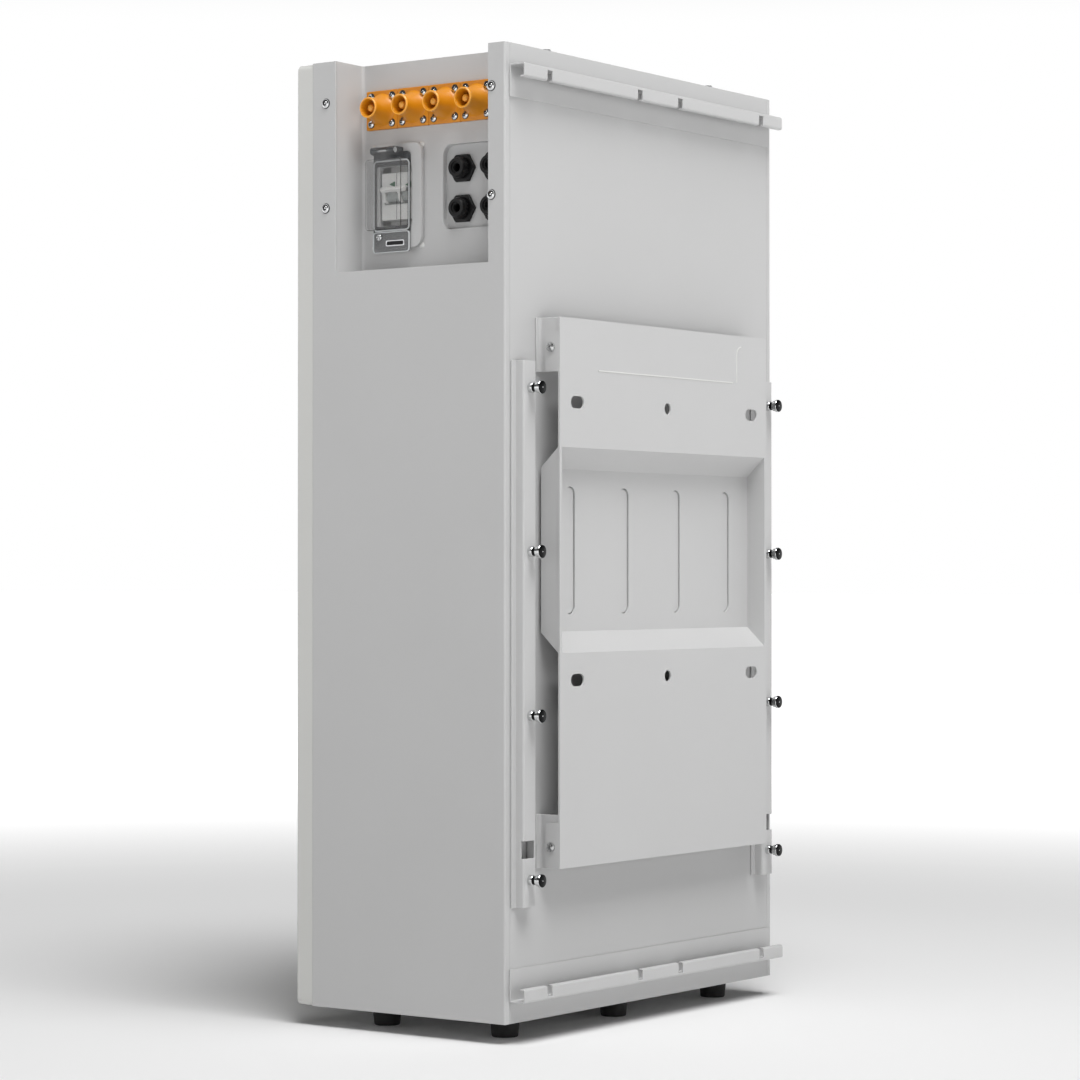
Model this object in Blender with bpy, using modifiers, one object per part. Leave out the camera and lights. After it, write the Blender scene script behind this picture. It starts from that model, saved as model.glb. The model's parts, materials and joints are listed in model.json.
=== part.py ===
"""Battery box: a wall-mounted lithium battery in a folded sheet-steel case.

Metres, +Z up. The terminal bay is on the +X side, the wall is on +Y. Everything hangs from the empty
"case_origin", which sits on the middle of the case's rear bottom edge: below, x is measured from the
middle of the case, y from its rear face (the case is at negative y) and z from its underside.
"""

import math

import bmesh
import bpy
from mathutils import Matrix

# Driving sizes, in metres
CASE_WIDTH = 0.460
BODY_DEPTH = 0.2295
COVER_DEPTH = 0.0175
COVER_CORNER = 0.006
CASE_HEIGHT = 0.900
SHEET = 0.0015
SHEET_CORNER = 0.001
GAP = 0.0003
BEND = 0.002  # outside radius of a fold

FOOT_HEIGHT = 0.019
FOOT_TOP_R = 0.0145
FOOT_BOTTOM_R = 0.0125
FOOT_X = 0.1785
FOOT_REAR_Y = -0.038
FOOT_ROW_PITCH = 0.140

BACK_LIP = 0.0075  # width of the side panels' fold round the back
FRONT_LIP = 0.014

BAY_HEIGHT = 0.2015
BAY_DEPTH = 0.042
REAR_POST = 0.0194
FRONT_POST = 0.029
BAY_CORNER = 0.003
BAY_SCREW_HEAD = 0.002
BAY_SCREW_HEAD_R = 0.0044
BAY_SCREW_SHANK_R = 0.0016
BAY_SCREW_HOLE_R = 0.0019
BAY_SCREW_LENGTH = 0.010
BAY_SCREW_TOP = 0.0397  # below the top edge
BAY_SCREW_PITCH = 0.100
BAY_SCREW_FRONT = 0.0172  # from the front fold
BAY_SCREW_REAR = 0.0158  # from the rear face
TOP_SCREW_HEAD = 0.005
TOP_SCREW_HEAD_R = 0.00425
TOP_SCREW_X = 0.140
TOP_SCREW_Y = -0.018
TOP_SCREW_LENGTH = 0.012

PORT_COUNT = 4
PORT_PITCH = 0.0376
PORT_FLANGE = 0.0368
PORT_FLANGE_T = 0.004
PORT_FROM_REAR = 0.0615
PORT_FROM_TOP = 0.0445
PORT_REACH = 0.026
PORT_ROOT_R = 0.0145
PORT_NECK_R = 0.0108
PORT_RIM_R = 0.0098
PORT_SOCKET_R = 0.0076
PORT_SOCKET_DEPTH = 0.020
PORT_TAIL_R = 0.011
PORT_TAIL = 0.016

GLAND_PITCH_Y = 0.037
GLAND_PITCH_Z = 0.038
GLAND_FROM_REAR = 0.065
GLAND_FROM_TOP = 0.125
DISH_FROM_REAR = 0.0618
DISH_FROM_TOP = 0.123
DISH_WIDTH = 0.084
DISH_HEIGHT = 0.080
GLAND_DISH_CORNER = 0.010
GLAND_DISH_DEPTH = 0.006
GLAND_FLATS = 0.0255
GLAND_HEX_T = 0.004
GLAND_NUT_R = 0.0102
GLAND_NUT_L = 0.0055
GLAND_CROWN_R = 0.0090
GLAND_CROWN_L = 0.0038
GLAND_BORE_R = 0.005
GLAND_THREAD_R = 0.010
GLAND_THREAD_L = 0.012

WINDOW_FROM_REAR = 0.157
WINDOW_FROM_TOP = 0.128
BEZEL_WIDTH = 0.062
BEZEL_HEIGHT = 0.100
BEZEL_CORNER = 0.010
BEZEL_T = 0.0045
BEZEL_CHAMFER = 0.003
BREAKER_POLE = 0.018
BREAKER_POLES = 2
BREAKER_FACE_H = 0.045
BREAKER_BODY_H = 0.081
BREAKER_SHOULDER = 0.014  # nose in front of the main body
BREAKER_PROUD = 0.003  # nose in front of the bay panel
BREAKER_DEPTH = 0.060
BREAKER_CLEARANCE = 0.0015
OPENING_MARGIN = 0.012  # how much taller than the breaker's nose its opening is
TOGGLE_PIVOT_BACK = 0.0040
TOGGLE_HUB_R = 0.0062
TOGGLE_REACH = 0.0135
TOGGLE_THICK = 0.0036
LEVER_SPLIT = 0.0032  # gap between the two levers
TIE_BAR = 0.0045
TOGGLE_REST = 32.0  # degrees above level at rest
TOGGLE_WELL_R = 0.0068
TOGGLE_MOUTH = 0.0100
TOGGLE_SIDE = 0.003  # breaker wall beside the levers
LID_SHIFT = -0.0033  # from the breaker's centre towards the front
LID_WIDTH = 0.0438
LID_HEIGHT = 0.068
LID_TOP = 0.0345  # above the window's centre
LID_PROUD = 0.0205
LID_WALL = 0.0015
LID_CORNER = 0.004
FRAME_WIDTH = 0.044
FRAME_HOLE_WIDTH = 0.0385
FRAME_T = 0.0015
FRAME_TOP = 0.042  # above the window's centre
FRAME_BOTTOM = 0.054  # below it
FRAME_CORNER = 0.004
HINGE_R = 0.0014
HINGE_RISE = 0.0075  # above the lid's top
HINGE_LENGTH = 0.027
HINGE_PROUD = 0.0195  # pin in front of the bay panel
HINGE_EAR_R = 0.0036
KNUCKLE_HALF = 0.0065
HINGE_CLEARANCE = 0.00005
HINGE_SIDE_PLAY = 0.0005
DIN_HEIGHT = 0.035
DIN_DEPTH = 0.0075
DIN_LENGTH = 0.110
DIN_CHANNEL = 0.025
DIN_SHEET = 0.001

RAIL_HALF_LENGTH = 0.224
RAIL_EDGE = 0.0200  # outer face of a cross rail from the case's top or bottom edge
RAIL_REACH = 0.018
RAIL_WEB = 0.013
RAIL_RETURN = 0.005
RAIL_FOOT = 0.030
RAIL_NOTCH = 0.008
RAIL_NOTCH_X = (-0.184, -0.035, 0.035, 0.184)

POST_X = 0.206
POST_BOTTOM = 0.106
POST_HEIGHT = 0.502
POST_REACH = 0.011
POST_FACE = 0.0195
POST_FLANGE = 0.0062
POST_WINDOW = (0.151, 0.167)
POST_WINDOW_DEPTH = 0.0035
STUD_FIRST = 0.025
STUD_PITCH = 0.1507
STUD_COUNT = 4
STUD_COLLAR_R = 0.0048
STUD_COLLAR = 0.004
STUD_NECK_R = 0.0034
STUD_HEAD_R = 0.0063
STUD_HEAD = 0.0035
STUD_REACH = 0.0145
STUD_EDGE = 0.0007

WALL_REACH = 0.026  # outer face of the wall plate from the case's rear face
PLATE_SHEET = 0.002
PLATE_WIDTH = 0.360
PLATE_BOTTOM = 0.1400
PLATE_HEIGHT = 0.5095
PAN_BOTTOM = 0.3388
PAN_HEIGHT = 0.1905
PAN_DEPTH = 0.0205
PAN_HALF = 0.1765
PAN_SLOPE = 0.0195
RIB_PITCH = 0.0895
RIB_WIDTH = 0.015
RIB_HEIGHT = 0.120
RIB_DEPTH = 0.0014
HOLE_ROWS = (0.3134, 0.5715)
HOLE_X = 0.1515
SLOT_LENGTH = 0.0215
SLOT_WIDTH = 0.0115
HOLE_R = 0.0055
EAR_DEPTH = 0.017
EAR_CORNER = 0.003
EAR_SPANS = ((0.1400, 0.0425), (0.5990, 0.0375))  # bottom edge and height of each pair of ears
EAR_SCREW_Z = (0.1597, 0.6215)
EAR_SCREW_Y = 0.016
EAR_SCREW_R = 0.0020
EAR_HOLE_R = 0.0023
EAR_HEAD_R = 0.0044
EAR_HEAD = 0.0024
EAR_SCREW_LENGTH = 0.010
BRACKET_OUT = 0.0065
BRACKET_SPANS = ((0.1395, 0.050), (0.5990, 0.0505))
BRACKET_GAP = 0.0004
BRACKET_BEND = 0.004

CELL_WIDTH = 0.174
CELL_THICK = 0.072
CELL_LENGTH = 0.207
CELLS_PER_STACK = 8
CELL_GROOVE = 0.0012
STACK_Y = -0.0145  # rear end of the cells
BOARD_SIZE = (0.300, 0.022, 0.170)
BOARD_PLACE = (-0.190, -0.0243, 0.640)
BUS_T = 0.003
BUS_WIDTH = 0.024
BUS_BEND = 0.005
BUS_X = 0.150
BUS_RUN = 0.080

CASE_DEPTH = BODY_DEPTH + COVER_DEPTH
HALF = CASE_WIDTH / 2
BAY_FACE = HALF - BAY_DEPTH
BAY_Y = (-BODY_DEPTH + FRONT_POST, -REAR_POST)
BAY_FLOOR = CASE_HEIGHT - BAY_HEIGHT
PLATE_BACK = WALL_REACH - PLATE_SHEET
STEPS = 20  # sides of a small round piece

for thing in list(bpy.data.objects):
    bpy.data.objects.remove(thing, do_unlink=True)


def collection(name):
    group = bpy.data.collections.new(name)
    bpy.context.scene.collection.children.link(group)
    return group


parts = collection("battery_box")
cutters = collection("cutters")

root = bpy.data.objects.new("case_origin", None)
root.location = (-BAY_SCREW_HEAD / 2, (CASE_DEPTH - WALL_REACH) / 2, FOOT_HEIGHT)
parts.objects.link(root)


def material(name, colour, roughness, metallic=0.0, alpha=1.0):
    made = bpy.data.materials.new(name)
    made.use_nodes = True
    shader = made.node_tree.nodes["Principled BSDF"]
    shader.inputs["Base Color"].default_value = (*colour, 1.0)
    shader.inputs["Roughness"].default_value = roughness
    shader.inputs["Metallic"].default_value = metallic
    shader.inputs["Alpha"].default_value = alpha
    return made


case_paint = material("case_paint", (0.47, 0.47, 0.47), 0.45)
cover_paint = material("cover_paint", (0.54, 0.54, 0.52), 0.45)
bracket_paint = material("bracket_paint", (0.52, 0.52, 0.52), 0.45)
foot_rubber = material("foot_rubber", (0.02, 0.02, 0.02), 0.8)
port_plastic = material("port_plastic", (0.85, 0.36, 0.03), 0.4)
gland_nylon = material("gland_nylon", (0.02, 0.02, 0.02), 0.5)
screw_zinc = material("screw_zinc", (0.70, 0.70, 0.68), 0.3, 1.0)
breaker_white = material("breaker_white", (0.80, 0.80, 0.78), 0.4)
lid_clear = material("lid_clear", (0.60, 0.62, 0.64), 0.1, 0.0, 0.35)
stud_black = material("stud_black", (0.03, 0.03, 0.03), 0.35)
keeper_black = material("keeper_black", (0.03, 0.03, 0.03), 0.4)
cell_blue = material("cell_blue", (0.05, 0.12, 0.35), 0.5)
board_housing = material("board_housing", (0.55, 0.56, 0.57), 0.4, 1.0)
bus_copper = material("bus_copper", (0.72, 0.35, 0.20), 0.35, 1.0)

# Rotations that lay a flat outline across one axis: its points are (y, z), (x, z) or (x, y)
LAY = {
    "X": Matrix(((0, 0, 1), (1, 0, 0), (0, 1, 0))).to_4x4(),
    "Y": Matrix(((1, 0, 0), (0, 0, -1), (0, 1, 0))).to_4x4(),
    "Z": Matrix.Identity(4),
}
INDEX = {"X": 0, "Y": 1, "Z": 2}


def place(name, mesh, matrix, paint, group=parts):
    """Makes the object of one piece, or of a cutter, and hangs it from the root."""
    piece = bpy.data.objects.new(name, mesh)
    piece.parent = root
    piece.matrix_parent_inverse = Matrix.Identity(4)
    piece.matrix_basis = matrix
    group.objects.link(piece)
    if group is cutters:
        piece.hide_render = True
        piece.display_type = "WIRE"
    elif paint:
        mesh.materials.append(paint)
    return piece


def box(name, low, high, paint=None, group=parts):
    mesh = bpy.data.meshes.new(name)
    shape = bmesh.new()
    bmesh.ops.create_cube(shape, size=1.0)
    size = [high[i] - low[i] for i in range(3)]
    bmesh.ops.scale(shape, vec=size, verts=shape.verts)
    shape.to_mesh(mesh)
    shape.free()
    middle = [(high[i] + low[i]) / 2 for i in range(3)]
    return place(name, mesh, Matrix.Translation(middle), paint, group)


def extruded(name, outlines, start, end, along, paint=None, group=parts):
    """A flat outline, with any further outlines as holes, drawn out between two places on an axis."""
    curve = bpy.data.curves.new(name, "CURVE")
    curve.dimensions = "2D"
    curve.fill_mode = "BOTH"
    curve.extrude = abs(end - start) / 2
    for outline in outlines:
        spline = curve.splines.new("POLY")
        spline.points.add(len(outline) - 1)
        for point, (across, up) in zip(spline.points, outline):
            point.co = (across, up, 0, 1)
        spline.use_cyclic_u = True
    drawn = bpy.data.objects.new(name + "_outline", curve)
    cutters.objects.link(drawn)
    graph = bpy.context.evaluated_depsgraph_get()
    mesh = bpy.data.meshes.new_from_object(drawn.evaluated_get(graph))
    bpy.data.objects.remove(drawn, do_unlink=True)
    shape = bmesh.new()
    shape.from_mesh(mesh)
    bmesh.ops.remove_doubles(shape, verts=shape.verts, dist=1e-6)
    bmesh.ops.recalc_face_normals(shape, faces=shape.faces)
    shape.to_mesh(mesh)
    shape.free()
    mesh.materials.clear()
    shift = [0.0, 0.0, 0.0]
    shift[INDEX[along]] = (start + end) / 2
    return place(name, mesh, Matrix.Translation(shift) @ LAY[along], paint, group)


def cutter(name, outline, start, end, along):
    """A flat outline drawn out along an axis, only used by a Boolean."""
    return extruded(name, [outline], start, end, along, group=cutters)


def turned(name, profile, origin, along, paint=None, group=parts, steps=STEPS):
    """A turned piece: (radius, height) points from top to bottom, spun round an axis through origin."""
    mesh = bpy.data.meshes.new(name)
    mesh.from_pydata([(r, 0, h) for r, h in profile], [(i, i + 1) for i in range(len(profile) - 1)], [])
    turn = {"X": Matrix.Rotation(math.pi / 2, 4, "Y"), "Y": Matrix.Rotation(-math.pi / 2, 4, "X")}
    piece = place(name, mesh, Matrix.Translation(origin) @ turn.get(along, Matrix.Identity(4)), paint, group)
    screw = piece.modifiers.new("spin", "SCREW")
    screw.steps = steps
    screw.render_steps = steps
    screw.use_merge_vertices = True
    screw.merge_threshold = 1e-6
    screw.use_smooth_shade = True
    return piece


def boolean(piece, other, operation="DIFFERENCE"):
    change = piece.modifiers.new(operation.lower(), "BOOLEAN")
    change.operation = operation
    change.solver = "EXACT"
    change.object = other


def arc(centre, radius, start, end, steps):
    """Points on an arc, with angles in degrees."""
    turns = [math.radians(start + (end - start) * i / steps) for i in range(steps + 1)]
    return [(centre[0] + radius * math.cos(t), centre[1] + radius * math.sin(t)) for t in turns]


def rounded(centre, width, height, radius, steps=4):
    right, top = width / 2 - radius, height / 2 - radius
    corners = ((right, top, 0), (-right, top, 90), (-right, -top, 180), (right, -top, 270))
    points = []
    for dx, dy, turn in corners:
        points += arc((centre[0] + dx, centre[1] + dy), radius, turn, turn + 90, steps)
    return points


def circle(centre, radius, steps=STEPS):
    return arc(centre, radius, 0, 360, steps)[:-1]


def slot(centre, length, width, steps=6):
    half, r = (length - width) / 2, width / 2
    right = arc((centre[0] + half, centre[1]), r, -90, 90, steps)
    return right + arc((centre[0] - half, centre[1]), r, 90, 270, steps)


def folded(path, thickness=SHEET, radius=BEND, steps=3):
    """The section of a folded sheet: path runs along the middle of the sheet, radius is the outer one."""
    middle = radius - thickness / 2
    left, right = [], []
    last = len(path) - 1
    for i, (x, y) in enumerate(path):
        before = None if i == 0 else math.atan2(y - path[i - 1][1], x - path[i - 1][0])
        after = None if i == last else math.atan2(path[i + 1][1] - y, path[i + 1][0] - x)
        if before is None or after is None:
            angles = [before if after is None else after]
            centre, reach = (x, y), 0.0
        else:
            bend = (after - before + math.pi) % (2 * math.pi) - math.pi
            side = 1 if bend > 0 else -1
            away = middle / math.cos(bend / 2)
            aim = before + bend / 2 + side * math.pi / 2
            centre = (x + away * math.cos(aim), y + away * math.sin(aim))
            reach = -side * middle
            angles = [before + bend * k / steps for k in range(steps + 1)]
        for angle in angles:
            normal = (-math.sin(angle), math.cos(angle))
            out = reach + thickness / 2
            back = reach - thickness / 2
            left.append((centre[0] + normal[0] * out, centre[1] + normal[1] * out))
            right.append((centre[0] + normal[0] * back, centre[1] + normal[1] * back))
    return left + right[::-1]


def side_panel(name, side):
    """One side of the case, folded round the back and behind the front cover."""
    mid = SHEET / 2
    edge = side * (HALF - mid)
    path = [
        (side * (HALF - BACK_LIP), -mid),
        (edge, -mid),
        (edge, -BODY_DEPTH + mid),
        (side * (HALF - FRONT_LIP), -BODY_DEPTH + mid),
    ]
    panel = extruded(name, [folded(path)], 0, CASE_HEIGHT, "Z", case_paint)
    if side > 0:
        low = (HALF - 2 * SHEET, BAY_Y[0], BAY_FLOOR)
        high = (HALF + SHEET, BAY_Y[1], CASE_HEIGHT + SHEET)
        boolean(panel, box("bay_opening", low, high, group=cutters))
        for tag, y, z in bay_screw_places():
            hole = circle((y, z), BAY_SCREW_HOLE_R, 12)
            boolean(panel, cutter("hole_" + tag, hole, HALF - 2 * SHEET, HALF + SHEET, "X"))
    return panel


def bay_screw_places():
    rows = []
    top = CASE_HEIGHT - BAY_SCREW_TOP
    for end, y in (("front", -BODY_DEPTH + BAY_SCREW_FRONT), ("rear", -BAY_SCREW_REAR)):
        rows.append((end + "_top", y, top))
        rows.append((end + "_bottom", y, top - BAY_SCREW_PITCH))
    return rows


def sheet_pieces():
    inner = HALF - SHEET - GAP
    front = -BODY_DEPTH + SHEET + GAP
    side_panel("side_panel_right", 1)
    side_panel("side_panel_left", -1)

    lip = HALF - BACK_LIP - GAP
    back = rounded((0, CASE_HEIGHT / 2), 2 * lip, CASE_HEIGHT, SHEET_CORNER, 2)
    extruded("back_panel", [back], -SHEET, 0, "Y", case_paint)

    rear = -SHEET - GAP
    bay_in = BAY_FACE - SHEET - GAP
    bay_front = BAY_Y[0] - SHEET - GAP
    bay_rear = BAY_Y[1] + SHEET + GAP
    top_outline = [
        (-inner, front),
        (inner, front),
        (inner, bay_front),
        (bay_in, bay_front),
        (bay_in, bay_rear),
        (inner, bay_rear),
        (inner, rear),
        (-inner, rear),
    ]
    holes = [circle((side * TOP_SCREW_X, TOP_SCREW_Y), BAY_SCREW_HOLE_R, 12) for side in (-1, 1)]
    extruded("top_panel", [top_outline] + holes, CASE_HEIGHT - SHEET, CASE_HEIGHT, "Z", case_paint)
    base_outline = [(-inner, front), (inner, front), (inner, rear), (-inner, rear)]
    extruded("base_panel", [base_outline], 0, SHEET, "Z", case_paint)

    seam = -BODY_DEPTH - GAP
    middle = (0, CASE_HEIGHT / 2)
    outside = rounded(middle, CASE_WIDTH, CASE_HEIGHT, COVER_CORNER, 4)
    cover = extruded("front_cover", [outside], -CASE_DEPTH, seam, "Y", cover_paint)
    inside = rounded(middle, CASE_WIDTH - 2 * SHEET, CASE_HEIGHT - 2 * SHEET, COVER_CORNER - SHEET, 4)
    boolean(cover, cutter("cover_hollow", inside, -CASE_DEPTH + SHEET, seam + COVER_DEPTH, "Y"))


def window_centre():
    return (-WINDOW_FROM_REAR, CASE_HEIGHT - WINDOW_FROM_TOP)


def gland_places():
    y, z = -GLAND_FROM_REAR, CASE_HEIGHT - GLAND_FROM_TOP
    across, up = GLAND_PITCH_Y / 2, GLAND_PITCH_Z / 2
    return [(y + dy, z + dz) for dy in (-across, across) for dz in (up, -up)]


def port_places():
    z = CASE_HEIGHT - PORT_FROM_TOP
    return [(-PORT_FROM_REAR - i * PORT_PITCH, z) for i in range(PORT_COUNT)]


def breaker_span():
    y, _ = window_centre()
    half = BREAKER_POLES * BREAKER_POLE / 2
    return y - half, y + half


def breaker_opening():
    """The outline of the hole that the breaker's nose stands in."""
    width = BREAKER_POLES * BREAKER_POLE + 2 * BREAKER_CLEARANCE
    return rounded(window_centre(), width, BREAKER_FACE_H + OPENING_MARGIN, 0.002, 2)


def terminal_bay():
    """The open pocket in the side that holds the sockets, the breaker's window and the glands."""
    mouth = HALF - SHEET - GAP
    middle = (BAY_Y[0] + BAY_Y[1]) / 2
    length = BAY_Y[1] - BAY_Y[0]
    reach = BAY_DEPTH / 2  # drawn this much past the mouth, then trimmed
    back = BAY_FACE - SHEET
    outer_middle = ((back + mouth + reach) / 2, middle)
    outer = rounded(outer_middle, mouth + reach - back, length + 2 * SHEET, BAY_CORNER + SHEET)
    trimmed = [(min(x, mouth), y) for x, y in outer]
    bay = extruded("terminal_bay", [tidy(trimmed)], BAY_FLOOR - SHEET, CASE_HEIGHT, "Z", case_paint)

    dish_at = (-DISH_FROM_REAR, CASE_HEIGHT - DISH_FROM_TOP)
    dish_back = BAY_FACE - GLAND_DISH_DEPTH
    corner = GLAND_DISH_CORNER
    dish_outside = rounded(dish_at, DISH_WIDTH + 2 * SHEET, DISH_HEIGHT + 2 * SHEET, corner + SHEET)
    swell = cutter("dish_outside", dish_outside, dish_back - SHEET, BAY_FACE - SHEET / 2, "X")
    boolean(bay, swell, "UNION")

    inside = rounded(((BAY_FACE + HALF + reach) / 2, middle), HALF + reach - BAY_FACE, length, BAY_CORNER)
    boolean(bay, cutter("bay_inside", inside, BAY_FLOOR, CASE_HEIGHT + reach, "Z"))
    dish_inside = rounded(dish_at, DISH_WIDTH, DISH_HEIGHT, corner)
    boolean(bay, cutter("dish_inside", dish_inside, dish_back, BAY_FACE + SHEET, "X"))
    holes = [circle(spot, PORT_TAIL_R + GAP) for spot in port_places()]
    holes += [circle(spot, GLAND_THREAD_R + GAP) for spot in gland_places()]
    holes.append(breaker_opening())
    for i, outline in enumerate(holes):
        boolean(bay, cutter(f"panel_hole_{i}", outline, dish_back - 2 * SHEET, BAY_FACE + SHEET, "X"))


def tidy(points):
    """Drops points that fell together when an outline was trimmed."""
    kept = []
    for point in points:
        if not kept or math.dist(point, kept[-1]) > 1e-6:
            kept.append(point)
    return kept


def port(index, y, z):
    """A panel socket: a square flange, a body that narrows to a thick rim, and a tail behind the panel."""
    name = f"power_socket_{index}"
    face = BAY_FACE + GAP
    front = BAY_FACE + PORT_REACH
    flange = extruded(name, [rounded((y, z), PORT_FLANGE, PORT_FLANGE, 0.003, 3)], face, face + PORT_FLANGE_T,
                      "X", port_plastic)
    rise = PORT_REACH - GAP - PORT_FLANGE_T
    body = [
        (0, rise),
        (PORT_RIM_R, rise),
        (PORT_RIM_R, rise * 0.45),
        (PORT_NECK_R, rise * 0.38),
        (PORT_ROOT_R, rise * 0.10),
        (PORT_ROOT_R, -PORT_FLANGE_T / 2),
        (PORT_TAIL_R, -PORT_FLANGE_T / 2),
        (PORT_TAIL_R, -PORT_FLANGE_T - PORT_TAIL),
        (0, -PORT_FLANGE_T - PORT_TAIL),
    ]
    barrel = turned(name + "_barrel", body, (face + PORT_FLANGE_T, y, z), "X", group=cutters)
    socket = [(0, 0.01), (PORT_SOCKET_R, 0.01), (PORT_SOCKET_R, -PORT_SOCKET_DEPTH), (0, -PORT_SOCKET_DEPTH)]
    well = turned(name + "_well", socket, (front, y, z), "X", group=cutters)
    boolean(flange, barrel, "UNION")
    boolean(flange, well)


def gland(index, y, z):
    name = f"cable_gland_{index}"
    face = BAY_FACE - GLAND_DISH_DEPTH + GAP
    corner = GLAND_FLATS / math.sqrt(3)
    hexagon = circle((y, z), corner, 6)
    body = extruded(name, [hexagon], face, face + GLAND_HEX_T, "X", gland_nylon)
    nut = [
        (0, GLAND_NUT_L + GLAND_CROWN_L),
        (GLAND_CROWN_R - 0.001, GLAND_NUT_L + GLAND_CROWN_L),
        (GLAND_CROWN_R, GLAND_NUT_L + GLAND_CROWN_L * 0.7),
        (GLAND_NUT_R, GLAND_NUT_L),
        (GLAND_NUT_R, -GLAND_HEX_T / 2),
        (GLAND_THREAD_R, -GLAND_HEX_T / 2),
        (GLAND_THREAD_R, -GLAND_HEX_T - GLAND_THREAD_L),
        (0, -GLAND_HEX_T - GLAND_THREAD_L),
    ]
    dome = turned(name + "_dome", nut, (face + GLAND_HEX_T, y, z), "X", group=cutters)
    reach = GLAND_HEX_T + GLAND_NUT_L + GLAND_CROWN_L + GLAND_THREAD_L
    bore = cutter(name + "_bore", circle((y, z), GLAND_BORE_R, 16), face - reach, face + reach, "X")
    boolean(body, dome, "UNION")
    boolean(body, bore)


def breaker():
    y, z = window_centre()
    low, high = breaker_span()
    nose = BAY_FACE + BREAKER_PROUD
    shoulder = nose - BREAKER_SHOULDER
    back = shoulder - BREAKER_DEPTH
    half_h = BREAKER_BODY_H / 2
    face_h = BREAKER_FACE_H / 2
    # side view of the breaker as (x, z): extruded across its poles
    clip = DIN_HEIGHT / 2 + GAP
    outline = [
        (nose, z - face_h),
        (nose, z + face_h),
        (shoulder, z + face_h),
        (shoulder, z + half_h),
        (back, z + half_h),
        (back, z + clip),
        (back + 0.005, z + clip),
        (back + 0.005, z - clip),
        (back, z - clip),
        (back, z - half_h),
        (shoulder, z - half_h),
        (shoulder, z - face_h),
    ]
    body = extruded("breaker_body", [outline], low, high, "Y", breaker_white)
    pivot = (nose - TOGGLE_PIVOT_BACK, z)
    mouth = nose + 0.002
    flare = arc(pivot, TOGGLE_WELL_R, 70, 290, 14) + [(mouth, z - TOGGLE_MOUTH), (mouth, z + TOGGLE_MOUTH)]
    boolean(body, cutter("toggle_well", flare, low + TOGGLE_SIDE, high - TOGGLE_SIDE, "Y"))

    # the two levers and the bar that ties them, made level and turned to the rest angle about the pivot
    bar_low, bar_high = low + TOGGLE_SIDE + GAP, high - TOGGLE_SIDE - GAP
    centre = Matrix.Translation((pivot[0], y, pivot[1])) @ Matrix.Rotation(math.radians(-TOGGLE_REST), 4, "Y")
    hub = arc((0, 0), TOGGLE_HUB_R, 14, 346, 22)
    lever = [(TOGGLE_REACH, -TOGGLE_THICK / 2), (TOGGLE_REACH, TOGGLE_THICK / 2)] + hub
    toggle = extruded("breaker_toggle", [lever], bar_low - y, bar_high - y, "Y", breaker_white)
    toggle.matrix_basis = centre @ toggle.matrix_basis
    split_low = (TOGGLE_HUB_R - 0.0015, -LEVER_SPLIT / 2, -TOGGLE_HUB_R)
    split_high = (TOGGLE_REACH - TIE_BAR, LEVER_SPLIT / 2, TOGGLE_HUB_R)
    split = box("lever_split", split_low, split_high, group=cutters)
    split.matrix_basis = centre @ split.matrix_basis
    boolean(toggle, split)

    rail_x = back + 0.005 - GAP
    t = DIN_SHEET / 2
    hat = [
        (rail_x - t, z - DIN_HEIGHT / 2),
        (rail_x - t, z - DIN_CHANNEL / 2),
        (rail_x - DIN_DEPTH + t, z - DIN_CHANNEL / 2),
        (rail_x - DIN_DEPTH + t, z + DIN_CHANNEL / 2),
        (rail_x - t, z + DIN_CHANNEL / 2),
        (rail_x - t, z + DIN_HEIGHT / 2),
    ]
    section = folded(hat, DIN_SHEET, 1.5 * DIN_SHEET, 2)
    extruded("din_rail", [section], y - DIN_LENGTH / 2, y + DIN_LENGTH / 2, "Y", screw_zinc)


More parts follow.
